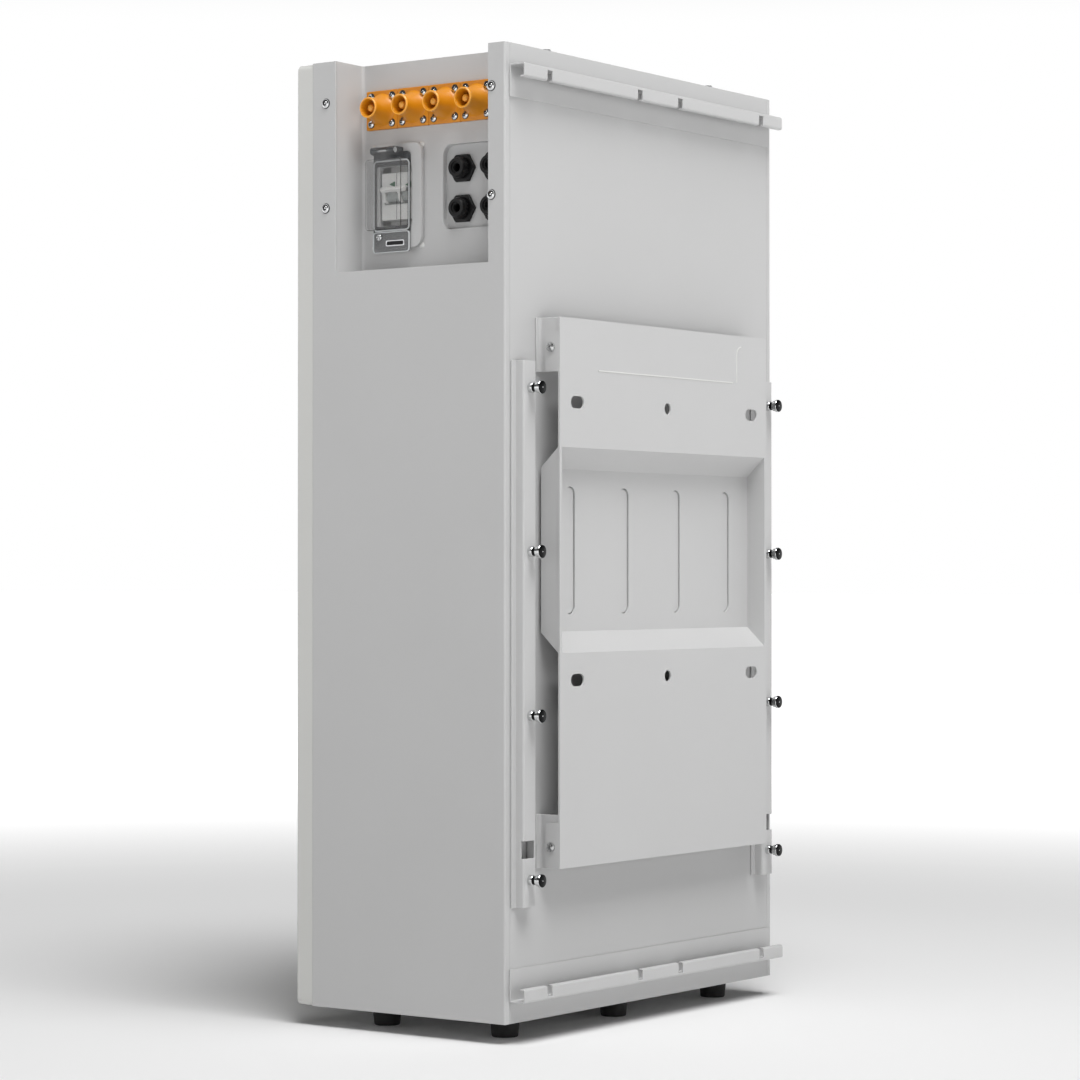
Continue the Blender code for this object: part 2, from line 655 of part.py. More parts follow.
def breaker_window():
    """The bezel, the smoky frame with its hinge ears, the clear lid and the pin it swings on."""
    y, z = window_centre()
    face = BAY_FACE + GAP
    bezel_outline = rounded((y, z), BEZEL_WIDTH, BEZEL_HEIGHT, BEZEL_CORNER, 5)
    bezel = extruded("window_bezel", [bezel_outline], face, face + BEZEL_T, "X", case_paint)
    rim = bezel.modifiers.new("chamfer", "BEVEL")
    rim.width = BEZEL_CHAMFER
    rim.segments = 1
    rim.limit_method = "ANGLE"
    rim.angle_limit = math.radians(60)
    boolean(bezel, cutter("bezel_hole", breaker_opening(), face - BEZEL_T, face + 2 * BEZEL_T, "X"))

    y += LID_SHIFT
    top = z + LID_TOP
    back = face + BEZEL_T + GAP
    front = back + FRAME_T
    lid_back = front + GAP
    lid_front = BAY_FACE + LID_PROUD
    pin = (BAY_FACE + HINGE_PROUD, top + HINGE_RISE)
    bore = circle(pin, HINGE_R + HINGE_CLEARANCE, 24)
    pin_half = HINGE_LENGTH / 2

    middle = z + (FRAME_TOP - FRAME_BOTTOM) / 2
    outline = rounded((y, middle), FRAME_WIDTH, FRAME_TOP + FRAME_BOTTOM, FRAME_CORNER, 3)
    hole = rounded((y, z), FRAME_HOLE_WIDTH, BREAKER_FACE_H + OPENING_MARGIN, 0.002, 2)
    frame = extruded("window_frame", [outline, hole], back, front, "X", keeper_black)
    inner = back + FRAME_T / 2
    cheek = [(inner, pin[1] - 2 * HINGE_EAR_R)]
    cheek += arc(pin, HINGE_EAR_R, -60, 90, 6)
    cheek.append((inner, pin[1] + HINGE_EAR_R))
    boolean(frame, cutter("hinge_cheeks", cheek, y - pin_half, y + pin_half, "Y"), "UNION")
    room = KNUCKLE_HALF + HINGE_SIDE_PLAY
    room_high = (pin[0] + 2 * HINGE_EAR_R, y + room, pin[1] + 2 * HINGE_EAR_R)
    boolean(frame, box("knuckle_room", (front, y - room, top - LID_WALL), room_high, group=cutters))
    boolean(frame, cutter("frame_bore", bore, y - HINGE_LENGTH, y + HINGE_LENGTH, "Y"))

    lid_middle = (y, top - LID_HEIGHT / 2)
    shell = rounded(lid_middle, LID_WIDTH, LID_HEIGHT, LID_CORNER, 4)
    lid = extruded("window_lid", [shell], lid_back, lid_front, "X", lid_clear)
    room_wide, room_high = LID_WIDTH - 2 * LID_WALL, LID_HEIGHT - 2 * LID_WALL
    hollow = rounded(lid_middle, room_wide, room_high, LID_CORNER - LID_WALL, 4)
    boolean(lid, cutter("lid_hollow", hollow, lid_back - LID_PROUD, lid_front - LID_WALL, "X"))
    knuckle = arc(pin, HINGE_EAR_R - GAP, 0, 180, 8)
    knuckle += [(x, top - LID_WALL / 2) for x in (knuckle[-1][0], knuckle[0][0])]
    boolean(lid, cutter("lid_knuckle", knuckle, y - KNUCKLE_HALF, y + KNUCKLE_HALF, "Y"), "UNION")
    boolean(lid, cutter("lid_bore", bore, y - HINGE_LENGTH, y + HINGE_LENGTH, "Y"))
    axis = bpy.data.objects.new("lid_axis", None)
    axis.parent = root
    axis.location = (pin[0], y, pin[1])
    parts.objects.link(axis)
    lid.parent = axis
    lid.matrix_basis = Matrix.Translation((-pin[0], -y, -pin[1])) @ lid.matrix_basis

    pin_profile = [(0, pin_half), (HINGE_R, pin_half), (HINGE_R, -pin_half), (0, -pin_half)]
    turned("hinge_pin", pin_profile, (pin[0], y, pin[1]), "Y", screw_zinc, steps=24)


def screw(name, place_at, along, head_r, head, shank_r, length):
    """A pan-head screw whose head stands on place_at and whose shank runs back from it."""
    crown = [(0, head), (head_r * 0.72, head), (head_r, head * 0.45), (head_r, 0)]
    shank = [(shank_r, 0), (shank_r, -length), (0, -length)]
    return turned(name, crown + shank, place_at, along, screw_zinc)


def rails():
    t = SHEET / 2
    for name, flip in (("top_rail", 1), ("bottom_rail", -1)):
        edge = CASE_HEIGHT - RAIL_EDGE if flip > 0 else RAIL_EDGE
        z = edge - flip * t
        path = [
            (GAP + t, edge - flip * RAIL_FOOT),
            (GAP + t, z),
            (RAIL_REACH - t, z),
            (RAIL_REACH - t, edge - flip * (RAIL_WEB - t)),
            (RAIL_REACH - RAIL_RETURN, edge - flip * (RAIL_WEB - t)),
        ]
        rail = extruded(name, [folded(path)], -RAIL_HALF_LENGTH, RAIL_HALF_LENGTH, "X", bracket_paint)
        for i, x in enumerate(RAIL_NOTCH_X):
            ends = sorted((edge - flip * 0.003, edge - flip * (RAIL_WEB + 0.004)))
            notch = box(f"{name}_notch_{i}", (x - RAIL_NOTCH / 2, RAIL_REACH - RAIL_RETURN - 0.002, ends[0]),
                        (x + RAIL_NOTCH / 2, RAIL_REACH + 0.002, ends[1]), group=cutters)
            boolean(rail, notch)

    for name, side in (("side_rail_right", 1), ("side_rail_left", -1)):
        x, half = side * POST_X, POST_FACE / 2
        path = [
            (x - half - POST_FLANGE, GAP + t),
            (x - half + t, GAP + t),
            (x - half + t, POST_REACH - t),
            (x + half - t, POST_REACH - t),
            (x + half - t, GAP + t),
            (x + half + POST_FLANGE, GAP + t),
        ]
        rail = extruded(name, [folded(path)], POST_BOTTOM, POST_BOTTOM + POST_HEIGHT, "Z", bracket_paint)
        low, high = sorted((x - side * (half - 2 * SHEET), x + side * (half + SHEET)))
        window_low = (low, POST_REACH - POST_WINDOW_DEPTH, POST_WINDOW[0])
        window_high = (high, POST_REACH + SHEET, POST_WINDOW[1])
        boolean(rail, box(name + "_window", window_low, window_high, group=cutters))
        for i in range(STUD_COUNT):
            z = POST_BOTTOM + STUD_FIRST + i * STUD_PITCH
            tag = f"rail_stud_{'right' if side > 0 else 'left'}_{i + 1}"
            head_back = STUD_REACH - STUD_HEAD
            profile = [
                (0, STUD_REACH),
                (STUD_HEAD_R - STUD_EDGE, STUD_REACH),
                (STUD_HEAD_R, STUD_REACH - STUD_EDGE),
                (STUD_HEAD_R, head_back),
                (STUD_NECK_R, head_back),
                (STUD_NECK_R, STUD_COLLAR),
                (STUD_COLLAR_R, STUD_COLLAR - STUD_EDGE),
                (STUD_COLLAR_R, 0),
                (0, 0),
            ]
            turned(tag, profile, (x, POST_REACH + GAP, z), "Y", stud_black)


def wall_plate():
    half = PLATE_WIDTH / 2
    y0, y1 = PLATE_BACK, WALL_REACH
    middle_z = PLATE_BOTTOM + PLATE_HEIGHT / 2
    holes = []
    for z in HOLE_ROWS:
        holes.append(circle((0, z), HOLE_R, 16))
        holes += [slot((side * HOLE_X, z), SLOT_LENGTH, SLOT_WIDTH) for side in (-1, 1)]
    outline = rounded((0, middle_z), PLATE_WIDTH, PLATE_HEIGHT, 0.001, 2)
    plate = extruded("wall_plate", [outline] + holes, y0, y1, "Y", bracket_paint)

    # the pan: a trough pressed towards the case, sloped above and below and square at its ends
    slope = PAN_SLOPE / PAN_DEPTH
    floor_y = WALL_REACH - PAN_DEPTH
    middle = PAN_BOTTOM + PAN_HEIGHT / 2

    def trough(outer_y, floor, thickness):
        """Its section between two depths, thickened outwards."""
        wall = thickness * math.hypot(1, slope)
        mouth, bottom = [PAN_HEIGHT / 2 - slope * (WALL_REACH - y) + wall for y in (outer_y, floor)]
        above = [(outer_y, middle + mouth), (floor, middle + bottom)]
        return above + [(floor, middle - bottom), (outer_y, middle - mouth)]

    t = PLATE_SHEET
    shell = cutter("pan_outside", trough(y0 + t / 2, floor_y - t, t), -PAN_HALF - t, PAN_HALF + t, "X")
    boolean(plate, shell, "UNION")
    boolean(plate, cutter("pan_inside", trough(WALL_REACH + t, floor_y, 0), -PAN_HALF, PAN_HALF, "X"))
    for i in range(4):
        x = (i - 1.5) * RIB_PITCH
        rib = rounded((x, middle), RIB_WIDTH, RIB_HEIGHT, RIB_WIDTH / 2, 6)
        boolean(plate, cutter(f"rib_{i}", rib, floor_y - RIB_DEPTH, floor_y + t, "Y"))

    # the ears folded back along both edges, each with a hole for its screw
    for side in (-1, 1):
        for (bottom, height), screw_z in zip(EAR_SPANS, EAR_SCREW_Z):
            low, high = sorted((side * half, side * (half - t)))
            tip, join, r = WALL_REACH - EAR_DEPTH, y0 + t / 2, EAR_CORNER
            flap = [(join, bottom), (join, bottom + height)]
            flap += arc((tip + r, bottom + height - r), r, 90, 180, 3)
            flap += arc((tip + r, bottom + r), r, 180, 270, 3)
            boolean(plate, cutter("ear", flap, low, high, "X"), "UNION")
            hole = circle((EAR_SCREW_Y, screw_z), EAR_HOLE_R, 12)
            boolean(plate, cutter("ear_hole", hole, low - t, high + t, "X"))

    # angle brackets on the case, just inside the ears
    for side in (-1, 1):
        web = half - t - BRACKET_GAP - SHEET / 2
        for tag, (bottom, height), screw_z in zip(("bottom", "top"), BRACKET_SPANS, EAR_SCREW_Z):
            where = f"{'right' if side > 0 else 'left'}_{tag}"
            base = GAP + SHEET / 2
            path = [(side * (web + BRACKET_OUT), base), (side * web, base), (side * web, PLATE_BACK - GAP)]
            section = folded(path, radius=BRACKET_BEND)
            top = bottom + height
            bracket = extruded("plate_bracket_" + where, [section], bottom, top, "Z", bracket_paint)
            low, high = sorted((side * (web - 2 * SHEET), side * (web + 2 * SHEET)))
            hole = circle((EAR_SCREW_Y, screw_z), EAR_HOLE_R, 12)
            boolean(bracket, cutter("bracket_hole", hole, low, high, "X"))
            seat = (side * (half + GAP), EAR_SCREW_Y, screw_z)
            name = "ear_screw_" + where
            fixing = screw(name, seat, "X", EAR_HEAD_R, EAR_HEAD, EAR_SCREW_R, EAR_SCREW_LENGTH)
            if side < 0:
                turn = Matrix.Rotation(-math.pi / 2, 4, "Y")
                fixing.matrix_basis = Matrix.Translation(seat) @ turn


def feet():
    for row, y in (("rear", FOOT_REAR_Y), ("front", FOOT_REAR_Y - FOOT_ROW_PITCH)):
        for tag, x in (("left", -FOOT_X), ("middle", 0.0), ("right", FOOT_X)):
            profile = [
                (0, -GAP),
                (FOOT_TOP_R, -GAP),
                (FOOT_TOP_R, -0.005),
                (FOOT_BOTTOM_R, -FOOT_HEIGHT + 0.001),
                (FOOT_BOTTOM_R - 0.001, -FOOT_HEIGHT),
                (0, -FOOT_HEIGHT),
            ]
            turned(f"foot_{row}_{tag}", profile, (x, y, 0), "Z", foot_rubber)


def insides():
    """The cells, the battery management board and the two bus bars up to the terminal bay."""
    cell_front = STACK_Y - CELL_LENGTH
    floor = SHEET + GAP
    stack_top = floor + CELLS_PER_STACK * CELL_THICK
    for tag, side in (("left", -1), ("right", 1)):
        near, far = sorted((side * GAP, side * (GAP + CELL_WIDTH)))
        stack = box("cell_stack_" + tag, (near, cell_front, floor), (far, STACK_Y, stack_top), cell_blue)
        for i in range(1, CELLS_PER_STACK):
            z = floor + i * CELL_THICK
            for end, y in (("front", cell_front), ("rear", STACK_Y)):
                groove = box(f"{tag}_{end}_groove_{i}", (near - 0.01, y - CELL_GROOVE, z - CELL_GROOVE),
                             (far + 0.01, y + CELL_GROOVE, z + CELL_GROOVE), group=cutters)
                boolean(stack, groove)
    low = BOARD_PLACE
    box("battery_management_board", low, [low[i] + BOARD_SIZE[i] for i in range(3)], board_housing)
    port_z = CASE_HEIGHT - PORT_FROM_TOP
    for tag, y in (("positive", -0.120), ("negative", -0.063)):
        t = BUS_T / 2
        path = [(BUS_X - BUS_RUN, stack_top + GAP + t), (BUS_X, stack_top + GAP + t), (BUS_X, port_z + 0.012)]
        section = folded(path, BUS_T, BUS_BEND)
        extruded("bus_bar_" + tag, [section], y - BUS_WIDTH / 2, y + BUS_WIDTH / 2, "Y", bus_copper)


sheet_pieces()
terminal_bay()
for number, (port_y, port_z) in enumerate(port_places(), 1):
    port(number, port_y, port_z)
for number, (gland_y, gland_z) in enumerate(gland_places(), 1):
    gland(number, gland_y, gland_z)
breaker()
breaker_window()
for tag, screw_y, screw_z in bay_screw_places():
    screw("bay_screw_" + tag, (HALF + GAP, screw_y, screw_z), "X", BAY_SCREW_HEAD_R, BAY_SCREW_HEAD - GAP,
          BAY_SCREW_SHANK_R, BAY_SCREW_LENGTH)
for tag, side in (("left", -1), ("right", 1)):
    screw("top_screw_" + tag, (side * TOP_SCREW_X, TOP_SCREW_Y, CASE_HEIGHT + GAP), "Z", TOP_SCREW_HEAD_R,
          TOP_SCREW_HEAD, BAY_SCREW_SHANK_R, TOP_SCREW_LENGTH)
rails()
wall_plate()
feet()
insides()
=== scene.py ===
import json
import math
import bmesh
import bpy
from mathutils import Matrix, Vector

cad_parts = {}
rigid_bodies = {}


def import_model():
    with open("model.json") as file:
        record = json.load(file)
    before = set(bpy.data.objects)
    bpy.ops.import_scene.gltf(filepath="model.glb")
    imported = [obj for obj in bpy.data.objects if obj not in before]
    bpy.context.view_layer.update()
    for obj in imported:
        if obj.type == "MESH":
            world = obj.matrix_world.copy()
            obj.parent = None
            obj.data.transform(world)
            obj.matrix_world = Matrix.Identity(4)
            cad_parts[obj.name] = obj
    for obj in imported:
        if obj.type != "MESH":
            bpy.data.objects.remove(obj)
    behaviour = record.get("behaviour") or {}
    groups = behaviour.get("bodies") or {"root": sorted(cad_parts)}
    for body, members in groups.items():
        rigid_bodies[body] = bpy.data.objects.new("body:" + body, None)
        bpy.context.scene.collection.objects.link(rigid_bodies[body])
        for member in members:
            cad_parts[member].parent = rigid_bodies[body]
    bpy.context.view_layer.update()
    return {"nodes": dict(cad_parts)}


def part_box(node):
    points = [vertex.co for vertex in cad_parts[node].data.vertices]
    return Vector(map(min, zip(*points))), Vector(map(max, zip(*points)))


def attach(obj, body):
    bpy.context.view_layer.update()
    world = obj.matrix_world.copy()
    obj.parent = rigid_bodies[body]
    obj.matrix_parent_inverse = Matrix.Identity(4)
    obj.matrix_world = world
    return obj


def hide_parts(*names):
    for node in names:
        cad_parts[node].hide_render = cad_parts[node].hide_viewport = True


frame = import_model()
offset = Vector((-0.001, 0.1105, 0.019))  # middle of the case's rear bottom edge, where its own sizes start
print("frame loaded")


# colour and node helpers

def linear(hexText):
    channels = [int(hexText[i:i + 2], 16) / 255 for i in (1, 3, 5)]
    return [c / 12.92 if c <= 0.04045 else ((c + 0.055) / 1.055) ** 2.4 for c in channels] + [1.0]


def addNode(tree, kind, settings=None, links=None):
    node = tree.nodes.new(kind)
    for key, value in (settings or {}).items():
        if isinstance(key, int) or key in node.inputs:
            node.inputs[key].default_value = value
        else:
            setattr(node, key, value)
    for key, source in (links or {}).items():
        tree.links.new(source, node.inputs[key])
    return node


def newMaterial(name, hexText, roughness, metallic=0.0, **more):
    made = bpy.data.materials.new(name)
    made.use_nodes = True
    shader = made.node_tree.nodes["Principled BSDF"]
    shader.inputs["Base Color"].default_value = linear(hexText)
    shader.inputs["Roughness"].default_value = roughness
    shader.inputs["Metallic"].default_value = metallic
    for key, value in more.items():
        shader.inputs[key.replace("_", " ")].default_value = value
    return made, made.node_tree, shader


def mixColour(tree, factor, low, high):
    mix = addNode(tree, "ShaderNodeMix", {"data_type": "RGBA"})
    mix.inputs[6].default_value = linear(low)
    mix.inputs[7].default_value = linear(high)
    tree.links.new(factor, mix.inputs[0])
    return mix.outputs[2]


# powder coat on sheet steel, sprayed and baked: a fine orange peel under a soft satin sheen
def powderCoat(name, low, high, roughness=0.42):
    made, tree, shader = newMaterial(name, high, roughness)
    place = addNode(tree, "ShaderNodeTexCoord").outputs["Object"]
    cloud = addNode(tree, "ShaderNodeTexNoise", {"Scale": 9.0, "Detail": 3.0}, {"Vector": place})
    grain = addNode(tree, "ShaderNodeTexNoise", {"Scale": 900.0, "Detail": 2.0}, {"Vector": place})
    peel = addNode(tree, "ShaderNodeTexNoise", {"Scale": 320.0, "Detail": 2.0}, {"Vector": place})
    tree.links.new(mixColour(tree, cloud.outputs["Fac"], low, high), shader.inputs["Base Color"])
    rough = addNode(tree, "ShaderNodeMapRange", {"To Min": roughness - 0.05, "To Max": roughness + 0.07},
                    {"Value": grain.outputs["Fac"]})
    tree.links.new(rough.outputs["Result"], shader.inputs["Roughness"])
    bump = addNode(tree, "ShaderNodeBump", {"Strength": 0.10, "Distance": 0.0002},
                   {"Height": peel.outputs["Fac"]})
    tree.links.new(bump.outputs["Normal"], shader.inputs["Normal"])
    return made


# injection-moulded plastic: even colour, the fine spark-eroded texture of its mould
def mouldedPlastic(name, low, high, roughness, grit=1400.0, strength=0.08, **more):
    made, tree, shader = newMaterial(name, high, roughness, **more)
    place = addNode(tree, "ShaderNodeTexCoord").outputs["Object"]
    flow = addNode(tree, "ShaderNodeTexNoise", {"Scale": 60.0, "Detail": 3.0}, {"Vector": place})
    spark = addNode(tree, "ShaderNodeTexNoise", {"Scale": grit, "Detail": 2.0}, {"Vector": place})
    tree.links.new(mixColour(tree, flow.outputs["Fac"], low, high), shader.inputs["Base Color"])
    bump = addNode(tree, "ShaderNodeBump", {"Strength": strength, "Distance": 0.0001},
                   {"Height": spark.outputs["Fac"]})
    tree.links.new(bump.outputs["Normal"], shader.inputs["Normal"])
    return made


# plated or bare metal: faint streaks in its roughness from rolling and tumbling
def platedMetal(name, low, high, roughness, scale=700.0):
    made, tree, shader = newMaterial(name, high, roughness, 1.0)
    place = addNode(tree, "ShaderNodeTexCoord").outputs["Object"]
    haze = addNode(tree, "ShaderNodeTexNoise", {"Scale": scale, "Detail": 3.0}, {"Vector": place})
    tree.links.new(mixColour(tree, haze.outputs["Fac"], low, high), shader.inputs["Base Color"])
    rough = addNode(tree, "ShaderNodeMapRange", {"To Min": roughness - 0.06, "To Max": roughness + 0.08},
                    {"Value": haze.outputs["Fac"]})
    tree.links.new(rough.outputs["Result"], shader.inputs["Roughness"])
    return made


# light grey coat of the case, a warmer and lighter one on the cover, and the brackets' own
casePowder = powderCoat("casePowderCoat", "#BCBCBC", "#C0C0C0")
coverPowder = powderCoat("coverPowderCoat", "#CACAC7", "#CECECB")
plateGrey = powderCoat("platePowderCoat", "#BEBEBE", "#C2C2C2", 0.40)
# a lighter copy of the case coat for the bezel rivets and the plate's raised beads: painted highlight, in
# place of the light their rounded tops catch
paintedHighlightCoat = powderCoat("rivetPowderCoatPaintedHighlight", "#D2D2D0", "#D8D8D6", 0.36)

# orange polyamide of the sockets, with a lighter copy of it on the rings and the pins as painted highlight
orangePolyamide = mouldedPlastic("orangePolyamide", "#CB800E", "#D58A14", 0.34)
orangePaintedHighlight = mouldedPlastic("orangeSocketPaintedHighlight", "#EBA23A", "#F0AA42", 0.30)

# black nylon of the glands, and the same in places that light doesn't reach
blackNylon = mouldedPlastic("blackNylon", "#0A0A0B", "#101011", 0.42, Specular_IOR_Level=0.35)
darkGap = mouldedPlastic("shadowedCavityNylon", "#0C0C0D", "#121213", 0.6)

# white thermoset of the breaker, a grey copy of it in the well that the levers move in as painted shade, and
# its printed marks
breakerWhite = mouldedPlastic("breakerThermoset", "#E4E4E2", "#ECECEA", 0.38)
wellPaintedShade = mouldedPlastic("wellThermosetPaintedShade", "#9A9F9D", "#A2A7A5", 0.55)
markGreen = mouldedPlastic("printedGreenMark", "#1E5B3A", "#226442", 0.5)

# fasteners: zinc plate, bright nickel plate, black oxide, and the polished edge of the keeper's slot
zincPlate = platedMetal("zincPlatedSteel", "#B9BABA", "#CDCECE", 0.26)
chromePlate = platedMetal("nickelPlatedSteel", "#C9CACB", "#DCDDDD", 0.14)
blackOxide = platedMetal("blackOxideSteel", "#1A1A1B", "#232324", 0.34)
chromeEdge = platedMetal("polishedSlotEdge", "#D5D6D7", "#E6E7E8", 0.18)

# inside: bare copper, blue film round the cells, brushed aluminium
busCopper = platedMetal("bareCopperBar", "#B86A46", "#C87C55", 0.28)
cellFilm = mouldedPlastic("blueCellFilm", "#173E86", "#1C4694", 0.3)
boardTray = platedMetal("brushedAluminiumTray", "#A9ABAC", "#B9BBBC", 0.34)

# rubber of the feet and of the glands' seals
footRubber = mouldedPlastic("mouldedRubber", "#151515", "#1D1D1D", 0.72, 900.0, 0.15)

# polycarbonate of the window's frame, painted darker round the opening as painted shade, clearer in its hinge
# and its keeper
frameRingPaintedShade = mouldedPlastic("frameRingPolycarbonatePaintedShade", "#38393A", "#434445", 0.18, 900.0, 0.02, Alpha=0.72)
hingePc = mouldedPlastic("clearHingePolycarbonate", "#4E5052", "#5A5C5E", 0.12, 900.0, 0.02, Alpha=0.66)
keeperPc = mouldedPlastic("clearKeeperPolycarbonate", "#7E7F80", "#8A8B8C", 0.12, 900.0, 0.02, Alpha=0.5)

# clear polycarbonate of the lid, see-through by its alpha so that light reaches the breaker; denser rims: a
# dark one on the rounded front edges as painted shade, a near-white one on the rear lip as painted highlight
lidPoly = mouldedPlastic("clearPolycarbonate", "#8C8C8D", "#989898", 0.05, 900.0, 0.01, Alpha=0.15)
lidPaintedShadeEdge = mouldedPlastic("clearPolycarbonatePaintedShadeRim", "#1C1D1E", "#262728", 0.22, 900.0, 0.01, Alpha=0.78)
clearPaintedHighlight = mouldedPlastic("clearPolycarbonatePaintedHighlightLip", "#E3E7E9", "#EEF1F2", 0.10, 900.0, 0.01, Alpha=0.72)
print("materials made")


# mesh helpers

flatFrom = 4e-5  # square metres: faces from this size up are flat sheet, shaded flat
flatTurn = 0.005  # radians: faces that meet more evenly than this are parts of one flat face
touching = 2e-5  # metres: vertices this near a plane lie in it
onAxis = 1e-7  # metres: a radius under this is a point on the axis


def joinedPiece(name, bits, body="case", replaces=(), sharp=35.0):
    # one object from meshes and their materials, which rides a body and stands in for CAD nodes
    mesh = bpy.data.meshes.new(name)
    shape = bmesh.new()
    paints = []
    for source, paint in bits:
        first = len(shape.faces)
        shape.from_mesh(source)
        shape.faces.ensure_lookup_table()
        if paint not in paints:
            paints.append(paint)
        for face in shape.faces[first:]:
            face.material_index = paints.index(paint)
            level = any(edge.calc_face_angle(1.0) < flatTurn for edge in face.edges)
            face.smooth = not level and face.calc_area() < flatFrom
    rounds = [face.smooth for face in shape.faces]
    shape.to_mesh(mesh)
    shape.free()
    for paint in paints:
        mesh.materials.append(paint)
    mesh.set_sharp_from_angle(angle=math.radians(sharp))
    mesh.polygons.foreach_set("use_smooth", rounds)
    piece = bpy.data.objects.new(name, mesh)
    bpy.context.scene.collection.objects.link(piece)
    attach(piece, body)
    if replaces:
        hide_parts(*replaces)
    return piece


def settled(piece):
    # the evaluated mesh of a piece that carries modifiers, as a plain mesh; the piece itself goes
    graph = bpy.context.evaluated_depsgraph_get()
    mesh = bpy.data.meshes.new_from_object(piece.evaluated_get(graph))
    mesh.transform(piece.matrix_world)
    bpy.data.objects.remove(piece, do_unlink=True)
    return mesh


def temporary(name, mesh):
    piece = bpy.data.objects.new(name, mesh)
    bpy.context.scene.collection.objects.link(piece)
    return piece


def lay(along, origin):
    # the Z axis turned onto the given one and moved to an origin
    turn = {
        "X": Matrix(((0, 0, 1), (1, 0, 0), (0, 1, 0))).to_4x4(),
        "Y": Matrix(((1, 0, 0), (0, 0, -1), (0, 1, 0))).to_4x4(),
        "Z": Matrix.Identity(4),
    }[along]
    return Matrix.Translation(origin) @ turn


def cleaned(mesh):
    shape = bmesh.new()
    shape.from_mesh(mesh)
    bmesh.ops.remove_doubles(shape, verts=shape.verts, dist=1e-6)
    bmesh.ops.recalc_face_normals(shape, faces=shape.faces)
    shape.to_mesh(mesh)
    shape.free()
    return mesh


def drawnOut(outlines, start, end, along, rim=0.0, rimSteps=2, origin=(0, 0, 0)):
    # a flat outline (further ones are holes) drawn out along an axis, its rims rounded
    curve = bpy.data.curves.new("outline", "CURVE")
    curve.dimensions = "2D"
    curve.fill_mode = "BOTH"
    curve.extrude = (end - start) / 2 - rim
    curve.bevel_depth = rim
    curve.bevel_resolution = rimSteps
    curve.offset = -rim
    for outline in outlines:
        spline = curve.splines.new("POLY")
        spline.points.add(len(outline) - 1)
        for point, (across, up) in zip(spline.points, outline):
            point.co = (across, up, 0, 1)
        spline.use_cyclic_u = True
    drawn = temporary("outline", curve)
    mesh = settled(drawn)
    shift = Vector((0, 0, 0))
    shift["XYZ".index(along)] = (start + end) / 2
    mesh.transform(lay(along, Vector(origin) + shift))
    return cleaned(mesh)


def turnedOut(profile, along="Z", origin=(0, 0, 0), steps=48):
    # (radius, height) points spun round an axis; the first and last sit on the axis or close up the middle
    mesh = bpy.data.meshes.new("turned")
    rings, points, faces = [], [], []
    for radius, height in profile:
        if radius < onAxis:
            rings.append([len(points)])
            points.append((0, 0, height))
        else:
            rings.append(list(range(len(points), len(points) + steps)))
            points += [(radius * math.cos(t), radius * math.sin(t), height)
                       for t in (2 * math.pi * i / steps for i in range(steps))]
    for low, high in zip(rings, rings[1:]):
        for i in range(steps):
            a, b = low[i % len(low)], low[(i + 1) % len(low)]
            c, d = high[(i + 1) % len(high)], high[i % len(high)]
            face = [a]
            for corner in (b, c, d):
                if corner not in face:
                    face.append(corner)
            if len(face) > 2:
                faces.append(face)
    mesh.from_pydata(points, [], faces)
    mesh.transform(lay(along, Vector(origin)))
    return cleaned(mesh)


def ringProfile(inner, outer, low, high, lowBreak=None, highBreak=None):
    # the closed section of a ring; an outer corner can be broken by a (radial, axial) amount
    points = [(inner, high)]
    points += [(outer - highBreak[0], high), (outer, high - highBreak[1])] if highBreak else [(outer, high)]
    points += [(outer, low + lowBreak[1]), (outer - lowBreak[0], low)] if lowBreak else [(outer, low)]
    return points + [(inner, low), (inner, high)]


def arc(centre, radius, start, end, steps):
    turns = [math.radians(start + (end - start) * i / steps) for i in range(steps + 1)]
    return [(centre[0] + radius * math.cos(t), centre[1] + radius * math.sin(t)) for t in turns]


def rounded(centre, width, height, radius, steps=8):
    right, top = width / 2 - radius, height / 2 - radius
    points = []
    for dx, dy, turn in ((right, top, 0), (-right, top, 90), (-right, -top, 180), (right, -top, 270)):
        points += arc((centre[0] + dx, centre[1] + dy), radius, turn, turn + 90, steps)
    return points


def circle(centre, radius, steps=32):
    return arc(centre, radius, 0, 360, steps)[:-1]


def cut(mesh, tools, operation="DIFFERENCE"):
    # a Boolean of a mesh with each tool in turn
    piece = temporary("cutting", mesh)
    for i, tool in enumerate(tools):
        other = temporary(f"tool{i}", tool)
        change = piece.modifiers.new("cut", "BOOLEAN")
        change.operation = operation
        change.solver = "EXACT"
        change.object = other
    result = settled(piece)
    for thing in [o for o in bpy.data.objects if o.name.startswith("tool")]:
        bpy.data.objects.remove(thing, do_unlink=True)
    return result


def softened(mesh, width=0.0003, angle=40.0, segments=2, picked=None):
    # edges rounded: those sharper than an angle, or those whose two ends a test picks
    if picked:
        weights = mesh.attributes.new("bevel_weight_edge", "FLOAT", "EDGE")
        for edge in mesh.edges:
            ends = [mesh.vertices[i].co for i in edge.vertices]
            weights.data[edge.index].value = 1.0 if all(picked(end) for end in ends) else 0.0
    piece = temporary("softening", mesh)
    rim = piece.modifiers.new("rim", "BEVEL")
    rim.width = width
    rim.segments = segments
    rim.limit_method = "WEIGHT" if picked else "ANGLE"
    rim.angle_limit = math.radians(angle)
    made = settled(piece)
    if picked:
        made.attributes.remove(made.attributes["bevel_weight_edge"])
    return made


def ribbon(points, width):
    # the outline of a band of even width along a line of points
    sides = ([], [])
    for i, (across, up) in enumerate(points):
        before, after = points[max(i - 1, 0)], points[min(i + 1, len(points) - 1)]
        run = math.hypot(after[0] - before[0], after[1] - before[1])
        aside = (-(after[1] - before[1]) / run, (after[0] - before[0]) / run)
        for side, sign in zip(sides, (0.5, -0.5)):
            side.append((across + sign * width * aside[0], up + sign * width * aside[1]))
    return sides[0] + sides[1][::-1]


